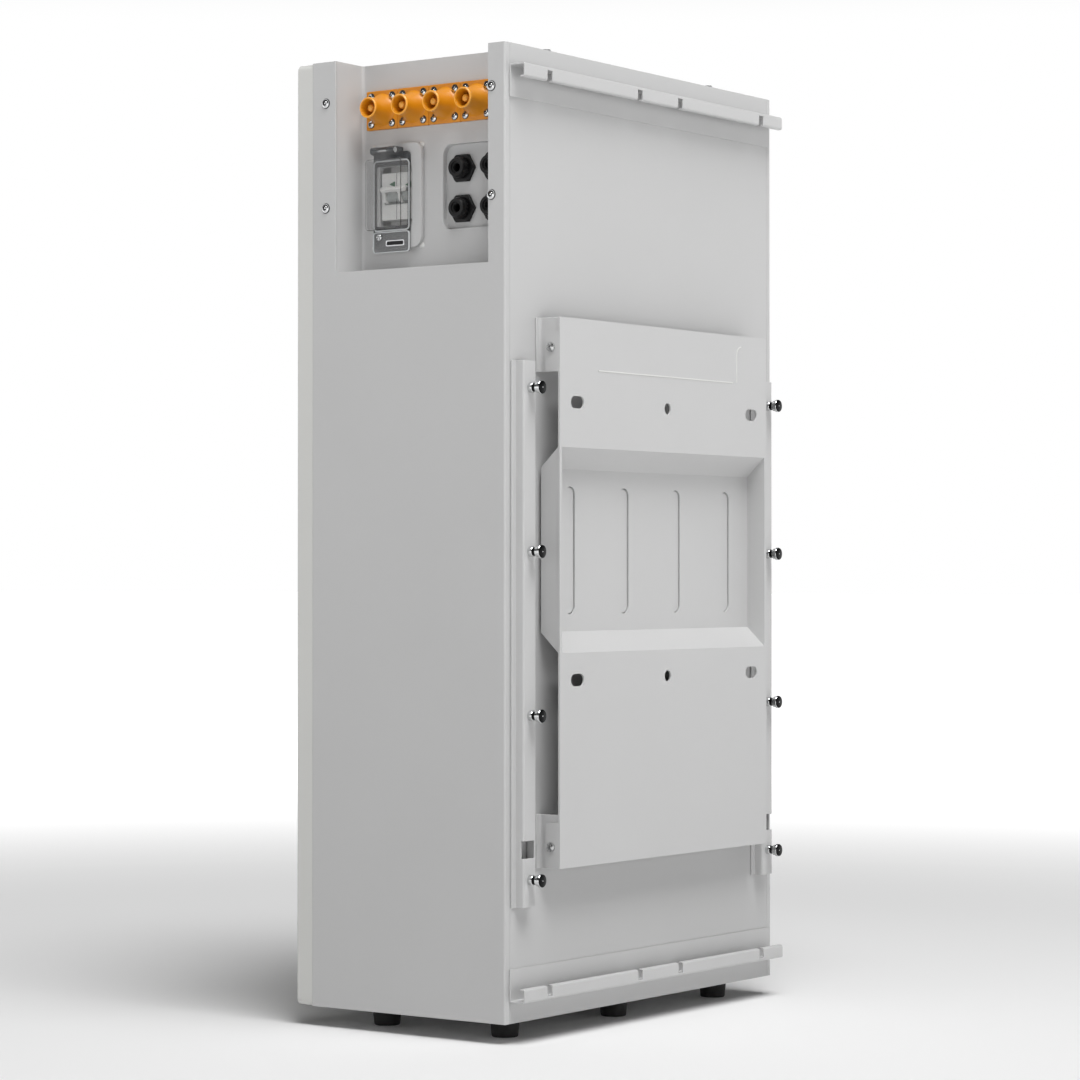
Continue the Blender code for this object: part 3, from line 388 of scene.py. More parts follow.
def fromCad(node):
    # a merged copy of a CAD node's mesh, its coplanar triangles made one face each
    mesh = frame["nodes"][node].data.copy()
    mesh.materials.clear()
    shape = bmesh.new()
    shape.from_mesh(mesh)
    bmesh.ops.remove_doubles(shape, verts=shape.verts, dist=2e-6)
    bmesh.ops.dissolve_limit(shape, angle_limit=math.radians(0.5), verts=shape.verts, edges=shape.edges)
    shape.to_mesh(mesh)
    shape.free()
    return mesh


def centreOf(node):
    low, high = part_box(node)
    return (low + high) / 2, low, high


# sheet metal: the CAD shapes with the small edge radius that punching and coating leave

sheetRim = {"panel": 0.0003, "thin": 0.0002, "plate": 0.0004}
brackets = [f"plate_bracket_{side}_{level}" for side in ("right", "left") for level in ("top", "bottom")]
sheets = {
    ("case_paint", casePowder, sheetRim["panel"]): ["side_panel_right", "side_panel_left"],
    ("case_paint", casePowder, sheetRim["thin"]): ["back_panel", "top_panel", "base_panel"],
    ("bracket_paint", plateGrey, sheetRim["panel"]):
        ["top_rail", "bottom_rail", "side_rail_right", "side_rail_left"] + brackets,
}
for (slot, paint, width), nodes in sheets.items():
    for node in nodes:
        joinedPiece(node + "_sheet", [(softened(fromCad(node), width), paint)], replaces=[node])

# the bay's panel dips round the glands with a soft pressed rim
dish = {"front": -0.118, "rear": -0.030, "low": 0.726, "high": 0.824, "rim": 0.0014}
bayFace = 0.188 + offset.x


def onDishRim(end):
    y, z = end.y - offset.y, end.z - offset.z
    inside = dish["front"] < y < dish["rear"] and dish["low"] < z < dish["high"]
    return inside and abs(end.x - bayFace) < touching


baySheet = softened(fromCad("terminal_bay"), dish["rim"], segments=4, picked=onDishRim)
baySheet = softened(baySheet, sheetRim["panel"])
joinedPiece("terminal_bay_sheet", [(baySheet, casePowder)], replaces=["terminal_bay"])

# the cover sits tight on the case: its rear edge reaches over the fitting gap
cover = {"gap": 0.0013, "rim": 0.0005}
coverMesh = fromCad("front_cover")
coverRear = max(vertex.co.y for vertex in coverMesh.vertices)
coverFront = min(vertex.co.y for vertex in coverMesh.vertices)
for vertex in coverMesh.vertices:
    if vertex.co.y > coverRear - touching:
        vertex.co.y += cover["gap"]
coverMesh = softened(coverMesh, cover["rim"], picked=lambda end: end.y < coverFront + touching)
joinedPiece("front_cover_sheet", [(coverMesh, coverPowder)], replaces=["front_cover"])

# the wall plate: a lanced line round each pressed rib, and two raised beads above the holes
plate = {"face": 0.026, "panFloor": 0.0055, "middle": 0.43405, "ribs": 4, "rib": 0.0075, "ribPitch": 0.0895,
         "ribHalf": 0.0525, "ribOpen": 40, "lance": 0.0010, "lanceDeep": 0.004}
bead = {"width": 0.0013, "high": 0.0004, "rim": 0.0003, "level": 0.6024, "from": -0.117, "to": 0.1177,
        "hookX": -0.124, "hookZ": 0.630, "hookR": 0.0085}
lances = []
for i in range(plate["ribs"]):
    x = (i - (plate["ribs"] - 1) / 2) * plate["ribPitch"] + offset.x
    z = plate["middle"] + offset.z
    radius = plate["rib"] - plate["lance"] / 2
    track = arc((x, z + plate["ribHalf"]), radius, plate["ribOpen"], 180, 10)
    track += arc((x, z - plate["ribHalf"]), radius, 180, 360 - plate["ribOpen"], 10)
    lances.append(drawnOut([ribbon(track, plate["lance"])], -plate["lanceDeep"], plate["lanceDeep"], "Y",
                           origin=(0, plate["panFloor"] + offset.y, 0)))
plateMesh = cut(softened(fromCad("wall_plate"), sheetRim["plate"]), lances)
hook = arc((bead["hookX"] - bead["hookR"], bead["hookZ"]), bead["hookR"], 0, 90, 6)
beadTracks = ([(bead["from"], bead["level"]), (bead["to"], bead["level"])],
              [(bead["hookX"], bead["level"]), *hook])
plateBits = [(plateMesh, plateGrey)]
for track in beadTracks:
    track = [(across + offset.x, up + offset.z) for across, up in track]
    raisedBead = drawnOut([ribbon(track, bead["width"])], plate["face"] - bead["high"],
                          plate["face"] + bead["high"], "Y", bead["rim"], origin=(0, offset.y, 0))
    # the beads wear the lighter coat, a painted highlight along their tops
    plateBits.append((raisedBead, paintedHighlightCoat))
joinedPiece("wall_plate_sheet", plateBits, replaces=["wall_plate"])
print("sheet metal done")


# node groups for what repeats

def patternTree(name, ring):
    # stamps a small piece on groups of points: a grid in each group, or a ring of points turned outwards
    tree = bpy.data.node_groups.new(name, "GeometryNodeTree")
    tree.is_modifier = True
    tree.interface.new_socket("Geometry", in_out="INPUT", socket_type="NodeSocketGeometry")
    tree.interface.new_socket("Geometry", in_out="OUTPUT", socket_type="NodeSocketGeometry")
    for label, kind in (("Stamp", "NodeSocketObject"), ("Finish", "NodeSocketMaterial"),
                        ("Columns", "NodeSocketInt"), ("Rows", "NodeSocketInt"),
                        ("Across", "NodeSocketFloat"), ("Up", "NodeSocketFloat"),
                        ("Group Columns", "NodeSocketInt"), ("Group Rows", "NodeSocketInt"),
                        ("Group Across", "NodeSocketFloat"), ("Group Up", "NodeSocketFloat")):
        tree.interface.new_socket(label, in_out="INPUT", socket_type=kind)
    given = addNode(tree, "NodeGroupInput").outputs

    def grid(columns, rows, across, up):
        spans = []
        for count, step in ((columns, across), (rows, up)):
            gaps = addNode(tree, "ShaderNodeMath", {"operation": "SUBTRACT", 1: 1.0}, {0: given[count]})
            span = addNode(tree, "ShaderNodeMath", {"operation": "MULTIPLY"},
                           {0: gaps.outputs[0], 1: given[step]})
            spans.append(span)
        return addNode(tree, "GeometryNodeMeshGrid", None, {
            "Vertices X": given[columns], "Vertices Y": given[rows],
            "Size X": spans[0].outputs[0], "Size Y": spans[1].outputs[0],
        }).outputs["Mesh"]

    groups = grid("Group Columns", "Group Rows", "Group Across", "Group Up")
    if ring:
        inner = addNode(tree, "GeometryNodeMeshCircle", None,
                        {"Vertices": given["Columns"], "Radius": given["Across"]}).outputs["Mesh"]
    else:
        inner = grid("Columns", "Rows", "Across", "Up")
    spots = addNode(tree, "GeometryNodeInstanceOnPoints", None, {"Points": groups, "Instance": inner})
    points = addNode(tree, "GeometryNodeRealizeInstances", None, {"Geometry": spots.outputs["Instances"]})
    stamp = addNode(tree, "GeometryNodeObjectInfo", None, {"Object": given["Stamp"]})
    placed = addNode(tree, "GeometryNodeInstanceOnPoints", None,
                     {"Points": points.outputs["Geometry"], "Instance": stamp.outputs["Geometry"]})
    if ring:
        index = addNode(tree, "GeometryNodeInputIndex")
        share = addNode(tree, "ShaderNodeMath", {"operation": "DIVIDE"},
                        {0: index.outputs[0], 1: given["Columns"]})
        turn = addNode(tree, "ShaderNodeMath", {"operation": "MULTIPLY", 1: 2 * math.pi},
                       {0: share.outputs[0]})
        angles = addNode(tree, "ShaderNodeCombineXYZ", None, {"Z": turn.outputs[0]})
        tree.links.new(angles.outputs[0], placed.inputs["Rotation"])
    solid = addNode(tree, "GeometryNodeRealizeInstances", None, {"Geometry": placed.outputs["Instances"]})
    painted = addNode(tree, "GeometryNodeSetMaterial", None,
                      {"Geometry": solid.outputs["Geometry"], "Material": given["Finish"]})
    addNode(tree, "NodeGroupOutput", None, {"Geometry": painted.outputs["Geometry"]})
    return tree


gridTree = patternTree("stampedGrid", False)
ringTree = patternTree("stampedRing", True)


def stamped(tree, stamp, paint, along, origin, **inputs):
    # the stamp mesh repeated by a tree, laid against a face whose normal is the given axis
    seed = temporary("stampSeed", bpy.data.meshes.new("stampSeed"))
    source = temporary("stampSource", stamp)
    change = seed.modifiers.new("pattern", "NODES")
    change.node_group = tree
    values = {"Columns": 1, "Rows": 1, "Across": 0.0, "Up": 0.0, "Group Columns": 1, "Group Rows": 1,
              "Group Across": 0.0, "Group Up": 0.0, "Stamp": source, "Finish": paint}
    values.update({key.replace("_", " "): value for key, value in inputs.items()})
    for item in tree.interface.items_tree:
        if item.item_type == "SOCKET" and item.in_out == "INPUT" and item.name in values:
            change[item.identifier] = values[item.name]
    mesh = settled(seed)
    bpy.data.objects.remove(source, do_unlink=True)
    mesh.transform(lay(along, Vector(origin)))
    return cleaned(mesh)


def crossCut(mesh, radius, width, depth, top):
    # a cross recess sunk in the top of a small screw that stands on the Z axis
    bars = []
    for wide, high in ((radius, width), (width, radius)):
        outline = rounded((0, 0), 2 * wide, 2 * high, min(wide, high) * 0.4, 3)
        bars.append(drawnOut([outline], top - depth, top + depth, "Z"))
    return cut(mesh, bars)


# screws, each on the Z axis with its seat at zero; the shares are of the head's radius or height

screwShares = {"shank": 0.5, "dome": 1.15, "shoulder": 0.45, "edge": 0.40, "socket": 0.50, "socketFloor": 0.3,
               "pin": 0.20, "pinTip": 0.16, "pinTop": 0.92, "crossReach": 0.62, "crossWidth": 0.15,
               "crossDepth": 0.55, "key": 0.55, "contactShadow": 0.8}


def panHead(radius, height, shank):
    share = screwShares
    domeR = radius * share["dome"]
    crown = arc((0, height - domeR), domeR, 90, 40, 6)
    scale = radius / crown[-1][0]
    profile = [(x * scale, max(height * share["shoulder"], z)) for x, z in crown]
    stem = radius * share["shank"]
    return profile + [(radius, height * share["edge"]), (radius, 0), (stem, 0), (stem, -shank), (0, -shank)]


def crossScrew(radius, height, shank):
    share = screwShares
    mesh = turnedOut(panHead(radius, height, shank), steps=28)
    return crossCut(mesh, radius * share["crossReach"], radius * share["crossWidth"],
                    height * share["crossDepth"], height)


def pinScrew(radius, height, shank=0.001):
    # a pin-in-socket screw: a bright rounded head, painted shade lining its socket, and a thin dark ring of
    # painted contact shadow round its foot
    share = screwShares
    hollow, pin = radius * share["socket"], radius * share["pin"]
    floorZ = height * share["socketFloor"]
    opening = [(0, height * share["pinTop"]), (radius * share["pinTip"], height * 0.90), (pin, height * 0.8),
               (pin, floorZ), (hollow, floorZ), (hollow, height * 0.93)]
    outside = [spot for spot in panHead(radius, height, shank) if spot[0] > hollow + touching or spot[1] < 0]
    head = turnedOut(opening + outside, steps=28)
    # painted shade lining the socket round the pin
    socketShade = turnedOut([(0, height * 0.45), (radius * 0.42, height * 0.45), (radius * 0.44, height * 0.90),
                        (hollow, height * 0.95), (hollow, height * 0.2), (0, height * 0.2)], steps=24)
    # a thin dark ring round the foot of the head: painted contact shadow
    contactShadowR, contactShadowHigh = radius * share["contactShadow"], 0.0003
    contactShadow = turnedOut([(contactShadowR, contactShadowHigh), (radius + 0.0005, contactShadowHigh), (radius + 0.0006, 0), (contactShadowR, 0),
                     (contactShadowR, contactShadowHigh)], steps=32)
    return [(head, chromePlate), (socketShade, darkGap), (contactShadow, darkGap)]


def capScrew(radius, height, shank):
    stem, chamfer = radius * screwShares["shank"], 0.0005
    profile = [(0, height), (radius - chamfer, height), (radius, height - chamfer), (radius, 0), (stem, 0),
               (stem, -shank), (0, -shank)]
    keyHole = drawnOut([circle((0, 0), radius * screwShares["key"], 6)], height * 0.4, height * 1.5, "Z")
    return cut(turnedOut(profile, steps=36), [keyHole])


def standing(mesh, along, origin, turn=0.0):
    # a copy of a screw, turned on its own axis and stood on a seat
    copy = mesh.copy()
    copy.transform(Matrix.Rotation(turn, 4, "Z"))
    copy.transform(lay(along, Vector(origin)))
    return copy


# terminal bay: power sockets

socket = {"flange": 0.0374, "thick": 0.004, "corner": 0.0012, "edge": 0.0006, "seat": 0.0003, "ring": 0.0098,
          "straight": 0.0060, "flare": ((0.0014, 0.42), (0.0034, 0.20)), "root": 0.0152, "well": 0.0076,
          "wellDepth": 0.0185, "wellRoot": 0.2, "sunk": 0.001, "pin": 0.0036, "pinBack": 0.0035,
          "tail": 0.0109, "tailLength": 0.0150, "stub": 0.0035, "stubLength": 0.0195}
socketScrews = {"head": 0.0033, "high": 0.0023, "across": 0.025, "up": 0.026, "pitch": 0.0376}
ring, well, root, pin, sunk = (socket[key] for key in ("ring", "well", "root", "pin", "sunk"))
face = bayFace + socket["seat"]
seat = face + socket["thick"]
lipIn, lipOut = ring - 0.0012, ring + 0.0001
tailR, tailEnd, stubR, stubEnd = socket["tail"], -socket["tailLength"], socket["stub"], -socket["stubLength"]
tailProfile = [(0, 0.0005), (tailR, 0.0005), (tailR, tailEnd + 0.0010), (tailR - 0.0009, tailEnd),
               (stubR, tailEnd), (stubR, stubEnd), (0, stubEnd)]
socketSpots = []
for i in range(1, 5):
    node = f"power_socket_{i}"
    middle, low, high = centreOf(node)
    y, z = middle.y, middle.z
    socketSpots.append((y, z))
    top = high.x - seat
    wellFloor = top - socket["wellDepth"]
    outline = rounded((y, z), socket["flange"], socket["flange"], socket["corner"])
    flange = drawnOut([outline], face, seat, "X", socket["edge"])
    mouth = [(well, top - sunk), (well + 0.0005, top - 0.0002), (ring - socket["edge"], top),
             (ring, top - socket["edge"])]
    neck = [(ring, top - socket["straight"]), (ring + 0.0002, top - 0.0075)]
    neck += [(ring + wider, top * share) for wider, share in socket["flare"]]
    foot = [(root - socket["edge"], 0.0012), (root + 0.0004, 0.0002), (root + 0.0004, -sunk)]
    inside = [(root * socket["wellRoot"], -sunk), (root * socket["wellRoot"], wellFloor), (well, wellFloor)]
    barrel = turnedOut(mouth + neck + foot + inside + [mouth[0]], "X", (seat, y, z), 64)
    pinTop = top - socket["pinBack"]
    pinProfile = [(0, pinTop), (pin * 0.45, pinTop), (pin * 0.8, pinTop - 0.0005),
                  (pin * 0.97, pinTop - 0.0015), (pin, pinTop - 0.003), (pin, wellFloor - 0.0005),
                  (0, wellFloor - 0.0005)]
    contact = turnedOut(pinProfile, "X", (seat, y, z), 40)
    lipProfile = [(lipIn, top - 0.0001), (ring - 0.0005, top + 0.0001), (lipOut, top - 0.0005),
                  (lipOut, top - 0.0016), (lipIn, top - 0.0016), (lipIn, top - 0.0001)]
    lip = turnedOut(lipProfile, "X", (seat, y, z), 64)
    tail = turnedOut(tailProfile, "X", (face, y, z), 40)
    # the ring's lip and the pin take the lighter orange, a painted highlight
    socketBits = [(flange, orangePolyamide), (barrel, orangePolyamide), (lip, orangePaintedHighlight),
                  (contact, orangePaintedHighlight), (tail, orangePolyamide)]
    joinedPiece(f"powerSocket{i}", socketBits, replaces=[node])
rowMiddle = (seat, sum(y for y, z in socketSpots) / len(socketSpots), socketSpots[0][1])
screwGrid = {"Columns": 2, "Rows": 2, "Across": socketScrews["across"], "Up": socketScrews["up"],
             "Group_Columns": 4, "Group_Across": socketScrews["pitch"]}
flangeScrews = [(stamped(gridTree, mesh, paint, "X", rowMiddle, **screwGrid), paint)
                for mesh, paint in pinScrew(socketScrews["head"], socketScrews["high"])]
joinedPiece("socketFlangeScrews", flangeScrews)
print("power sockets done")


# terminal bay: cable glands, hex body, fluted dome nut and rubber seal

gland = {"flats": 0.0255, "hex": 0.004, "chamfer": 0.0018, "nut": 0.0098, "nutLength": 0.0055,
         "straight": 0.72, "crown": 0.0038, "crownIn": 0.55, "bore": 0.005, "wall": 0.0002, "thread": 0.010,
         "threadPitch": 0.0015, "threadTurns": 8, "threadDepth": 0.0006, "threadEnd": 0.012, "flutes": 18,
         "pitchAcross": 0.037, "pitchUp": 0.038}
corner = gland["flats"] / math.sqrt(3)
hexHigh, nut, length, crown, bore = (gland[key] for key in ("hex", "nut", "nutLength", "crown", "bore"))
tip, shoulder = length + crown, length * gland["straight"]
crownTurns = [math.radians(angle) for angle in range(15, 76, 12)]
outer = [(nut, -sunk), (nut, shoulder)]
outer += [(nut - crown * gland["crownIn"] * (1 - math.cos(t)), shoulder + (tip - shoulder) * math.sin(t))
          for t in crownTurns]
boreWall, seatRing = bore + gland["wall"], bore + 0.0006
inner = [(outer[-1][0] - 0.0012, tip - 0.0002), (seatRing, tip - 0.0002), (boreWall, tip - 0.0010),
         (boreWall, sunk - hexHigh), (nut, sunk - hexHigh), (nut, -sunk)]
sealIn = bore - 0.0008
sealProfile = [(sealIn, tip - 0.0022), (seatRing, tip - 0.0018), (seatRing, tip - 0.006),
               (sealIn, tip - 0.006), (sealIn, tip - 0.0022)]
threadIn, threadR, pitch = bore + 0.001, gland["thread"], gland["threadPitch"]
threadProfile = [(threadIn, 0)]
for i in range(gland["threadTurns"]):
    threadProfile += [(threadR, -pitch * i), (threadR - gland["threadDepth"], -pitch * (i + 0.5))]
threadProfile += [(threadR, -gland["threadEnd"]), (threadIn, -gland["threadEnd"]), (threadIn, 0)]
chamferProfile = [(0, hexHigh + sunk), (corner - gland["chamfer"], hexHigh + sunk),
                  (corner + 0.0002, hexHigh - 0.0014), (corner + 0.0002, -sunk), (0, -sunk)]
glandSpots = []
for i in range(1, 5):
    node = f"cable_gland_{i}"
    middle, low, high = centreOf(node)
    y, z = middle.y, middle.z
    glandSpots.append((y, z))
    face = high.x - hexHigh - tip
    outlines = [circle((y, z), corner, 6), circle((y, z), bore + 0.0012, 24)]
    hexBody = drawnOut(outlines, face, face + hexHigh, "X", 0.0004)
    hexBody = cut(hexBody, [turnedOut(chamferProfile, "X", (face, y, z), 48)], "INTERSECT")
    dome = turnedOut(outer + inner, "X", (face + hexHigh, y, z), 64)
    seal = turnedOut(sealProfile, "X", (face + hexHigh, y, z), 40)
    thread = turnedOut(threadProfile, "X", (face, y, z), 40)
    glandBits = [(hexBody, blackNylon), (dome, blackNylon), (seal, footRubber), (thread, blackNylon)]
    joinedPiece(f"cableGland{i}", glandBits, replaces=[node])
glandMiddle = [sum(spot[k] for spot in glandSpots) / len(glandSpots) for k in (0, 1)]
flute = {"wide": 0.0010, "deep": 0.0013, "corner": 0.0003, "from": 0.0006, "to": 0.0046, "rim": 0.0002}
fluteOutline = rounded((0, 0), flute["wide"], flute["deep"], flute["corner"], 3)
fluteBar = drawnOut([fluteOutline], flute["from"], flute["to"], "Z", flute["rim"])
fluteRings = {"Columns": gland["flutes"], "Across": nut, "Group_Columns": 2, "Group_Rows": 2,
              "Group_Across": gland["pitchAcross"], "Group_Up": gland["pitchUp"]}
flutes = stamped(ringTree, fluteBar, blackNylon, "X", (face + hexHigh, *glandMiddle), **fluteRings)
joinedPiece("glandNutFlutes", [(flutes, blackNylon)])
print("cable glands done")


# terminal bay: the breaker's window

windowY, windowZ = -0.157 + offset.y, 0.772 + offset.z
lidSizes = {"width": 0.0438, "height": 0.068, "rise": 0.0345, "shift": -0.0033, "proud": 0.0205,
            "wall": 0.0015, "corner": 0.0045, "rim": 0.0012, "knuckle": 0.0065, "knuckleR": 0.0033,
            "pin": 0.0014, "pinFit": 0.00005, "pinHalf": 0.0135, "pinBreak": 0.0003}
room = {"side": 0.08, "high": 0.10, "deep": 0.04, "corner": 0.001}  # a cutting block larger than the frame
lidY = windowY + lidSizes["shift"]
lidTop = windowZ + lidSizes["rise"]
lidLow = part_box("window_lid")[0]
pinMiddle = centreOf("hinge_pin")[0]

bezel = {"rim": 0.0011, "turn": 30, "rivet": 0.0030, "across": 0.0575, "up": 0.0958, "middleY": -0.1577,
         "middleZ": 0.7719}
bezelMesh = softened(fromCad("window_bezel"), bezel["rim"], bezel["turn"], 4)
joinedPiece("bezelPressing", [(bezelMesh, casePowder)], replaces=["window_bezel"])
rivet = turnedOut([(0, 0.0010), (0.0016, 0.0009), (0.0026, 0.0005), (bezel["rivet"], 0),
                   (bezel["rivet"], -0.0003), (0, -0.0003)], steps=28)
rivetMiddle = (bayFace, bezel["middleY"] + offset.y, bezel["middleZ"] + offset.z)
# the rivet domes wear the lighter coat, a painted highlight
rivets = stamped(gridTree, rivet, paintedHighlightCoat, "X", rivetMiddle, Columns=2, Rows=2, Across=bezel["across"],
                 Up=bezel["up"])
joinedPiece("bezelRivets", [(rivets, paintedHighlightCoat)])

# the frame: a ring painted darker as shade of the deep opening, clearer hinge cheeks above it and a clear
# keeper with a knob and a tab below
keeper = {"hinge": 0.0352, "top": -0.0340, "bottom": -0.054, "width": 0.044, "corner": 0.003, "rim": 0.0008,
          "seat": 0.0066, "knob": 0.0033, "knobY": -0.1752, "knobZ": 0.7332, "tabY": -0.1557, "tabZ": 0.7270,
          "tabWidth": 0.0225, "tabHeight": 0.0060, "tabCorner": 0.0015, "tabWall": 0.0013}


def blockFrom(level):
    # the room above a level, from the bay's face outwards
    centre = (lidY, windowZ + level + room["high"] / 2)
    outline = rounded(centre, room["side"], room["high"], room["corner"], 1)
    return drawnOut([outline], bayFace, bayFace + room["deep"], "X")


frameMesh = softened(fromCad("window_frame"))
ringRoom, hingeRoom = blockFrom(keeper["top"]), blockFrom(keeper["hinge"])
frameRing = cut(frameMesh.copy(), [ringRoom], "INTERSECT")
# the ring round the opening is the dark copy, painted shade of the deep opening
frameBits = [(cut(frameRing.copy(), [hingeRoom]), frameRingPaintedShade),
             (cut(frameRing, [hingeRoom], "INTERSECT"), hingePc), (cut(frameMesh, [ringRoom]), keeperPc)]
keeperMiddle = (lidY, windowZ + (keeper["top"] + keeper["bottom"]) / 2)
keeperHigh = keeper["top"] - keeper["bottom"]
knobSeat = bayFace + keeper["seat"]
outerRim = rounded(keeperMiddle, keeper["width"], keeperHigh, keeper["corner"], 5)
innerRim = rounded(keeperMiddle, keeper["width"] - 2 * keeper["rim"], keeperHigh - 2 * keeper["rim"],
                   keeper["corner"] - keeper["rim"], 5)
# the keeper's raised rim wears the near-white painted highlight
frameBits.append((drawnOut([outerRim, innerRim], knobSeat - 0.0003, knobSeat + 0.0014, "X", 0.0002), clearPaintedHighlight))
knobR = keeper["knob"]
knobMesh = turnedOut([(0, 0.0018), (knobR - 0.0009, 0.0017), (knobR - 0.0002, 0.0012), (knobR, 0.0004),
                      (knobR, -0.001), (0, -0.001)], steps=32)
knob = crossCut(knobMesh, 0.0022, 0.0006, 0.0009, 0.0018)
knobPlace = (knobSeat, keeper["knobY"] + offset.y, keeper["knobZ"] + offset.z)
frameBits.append((standing(knob, "X", knobPlace, 0.5), chromePlate))
tabMiddle = (keeper["tabY"] + offset.y, keeper["tabZ"] + offset.z)
tabOutline = rounded(tabMiddle, keeper["tabWidth"], keeper["tabHeight"], keeper["tabCorner"], 4)
tabSlot = rounded(tabMiddle, keeper["tabWidth"] - 2 * keeper["tabWall"],
                  keeper["tabHeight"] - 2 * keeper["tabWall"], 0.0010, 4)
frameBits.append((drawnOut([tabOutline, tabSlot], knobSeat - 0.0005, knobSeat + 0.0009, "X", 0.0003),
                  chromeEdge))
# a dark sheet behind the tab's slot: painted shade where the slot opens into the frame
frameBits.append((drawnOut([tabSlot], knobSeat - 0.0005, knobSeat + 0.0001, "X"), darkGap))
joinedPiece("windowFrame", frameBits, replaces=["window_frame"])

# the lid: a shallow tray with its mouth on the frame and a knuckle on the pin
lidMid = (lidY, lidTop - lidSizes["height"] / 2)
lidBack, lidFront, wall = lidLow.x, bayFace + lidSizes["proud"], lidSizes["wall"]
lidWide, lidHigh, lidCorner = (lidSizes[key] for key in ("width", "height", "corner"))
lidOutline = rounded(lidMid, lidWide, lidHigh, lidCorner, 10)
shell = drawnOut([lidOutline], lidBack - 0.002, lidFront, "X", lidSizes["rim"], 3)
insideOutline = rounded(lidMid, lidWide - 2 * wall, lidHigh - 2 * wall, lidCorner - wall, 10)
hollow = drawnOut([insideOutline], lidBack - 0.01, lidFront - wall, "X", 0.0008, 3)
trimOutline = rounded(lidMid, room["high"], room["high"], room["corner"], 1)
trim = drawnOut([trimOutline], lidBack - 0.02, lidBack, "X")
knuckleOutline = arc((pinMiddle.x, pinMiddle.z), lidSizes["knuckleR"], 0, 180, 16)
knuckleOutline += [(knuckleOutline[-1][0], lidTop - 0.0012), (knuckleOutline[0][0], lidTop - 0.0012)]
knuckle = drawnOut([knuckleOutline], lidY - lidSizes["knuckle"], lidY + lidSizes["knuckle"], "Y", 0.0002)
boreOutline = circle((pinMiddle.x, pinMiddle.z), lidSizes["pin"] + lidSizes["pinFit"])
pinBore = drawnOut([boreOutline], lidY - 0.02, lidY + 0.02, "Y")
lidShell = cut(cut(cut(shell, [hollow, trim]), [knuckle], "UNION"), [pinBore])
lidPiece = joinedPiece("clearLid", [(lidShell, lidPoly)], body="window_lid",
                       replaces=["window_lid"], sharp=50)
# index 1 is the dark painted shade of the rounded front edges, index 2 the near-white painted highlight of
# the rear lip
lidPiece.data.materials.append(lidPaintedShadeEdge)
lidPiece.data.materials.append(clearPaintedHighlight)
for face in lidPiece.data.polygons:
    if face.normal.x < -0.9 and face.center.x < lidBack + 0.0002:
        face.material_index = 2
    elif 0.2 < face.normal.x < 0.97 and face.center.x > lidFront - 0.0016:
        face.material_index = 1
pinHalf, pinBreak = lidSizes["pinHalf"], (lidSizes["pinBreak"], lidSizes["pinBreak"])
hingePin = turnedOut(ringProfile(0, lidSizes["pin"], -pinHalf, pinHalf, pinBreak, pinBreak), "Y",
                     (pinMiddle.x, lidY, pinMiddle.z), 32)
pinHead = [(0, 0.0008), (0.0024, 0.0007), (0.0027, 0.0002), (0.0027, -0.0004), (0, -0.0004)]
pinEnds = [(pinMiddle.x, lidY + end * (pinHalf + 0.0005), pinMiddle.z) for end in (-1, 1)]
pinHeads = [(turnedOut(pinHead, "Y", place, 28), chromePlate) for place in pinEnds]
joinedPiece("lidHingePin", [(hingePin, chromePlate)] + pinHeads, replaces=["hinge_pin"])
print("breaker window done")


# the breaker: its case with printed marks and the seam between its poles, and its tied levers

breaker = {"nose": 0.191, "rim": 0.0004, "marks": ((-0.1623, 0.7836), (-0.1430, 0.7822)), "markBack": 0.0034,
           "markTip": -0.0038, "markHalf": 0.0029, "ink": 0.0002, "seam": 0.0005, "seamHigh": 0.0445,
           "wellHalf": 0.0154, "wellHigh": 0.0102, "wellDeep": 0.016}
noseX = breaker["nose"] + offset.x
breakerBits = [(softened(fromCad("breaker_body"), breaker["rim"]), breakerWhite)]
for y, z in breaker["marks"]:
    corners = ((breaker["markBack"], breaker["markHalf"]), (breaker["markTip"], 0),
               (breaker["markBack"], -breaker["markHalf"]))
    mark = [(y + offset.y + across, z + offset.z + up) for across, up in corners]
    breakerBits.append((drawnOut([mark], noseX - breaker["ink"], noseX + breaker["ink"], "X"), markGreen))
seamLine = drawnOut([rounded((windowY, windowZ), breaker["seam"], breaker["seamHigh"], 0.0002, 2)],
                    noseX - 0.0003, noseX + 0.00006, "X")
breakerBits.append((seamLine, darkGap))
breakerPiece = joinedPiece("breakerCase", breakerBits, replaces=["breaker_body"])
# faces inside the levers' well take the grey copy of the white thermoset: painted shade of the well
breakerPiece.data.materials.append(wellPaintedShade)
for face in breakerPiece.data.polygons:
    across, up = abs(face.center.y - windowY), abs(face.center.z - windowZ)
    inWell = across < breaker["wellHalf"] and up < breaker["wellHigh"]
    if inWell and noseX - breaker["wellDeep"] < face.center.x < noseX - 0.0005 and face.material_index == 0:
        face.material_index = len(breakerPiece.data.materials) - 1

lever = {"pivotX": 0.187, "rest": 32.0, "hub": 0.0050, "cheek": 0.0066, "wide": 0.0146, "reach": 0.0134,
         "root": 0.0026, "tip": 0.0016, "corner": 0.0006, "half": 0.0015, "cheeks": (-0.0130, 0.0050),
         "tie": 0.0040}
pivotX = lever["pivotX"] + offset.x


def raised(along, up):
    # a point of the lever's own outline, turned up about its pivot
    turn = math.radians(lever["rest"])
    return (pivotX + along * math.cos(turn) - up * math.sin(turn),
            windowZ + along * math.sin(turn) + up * math.cos(turn))


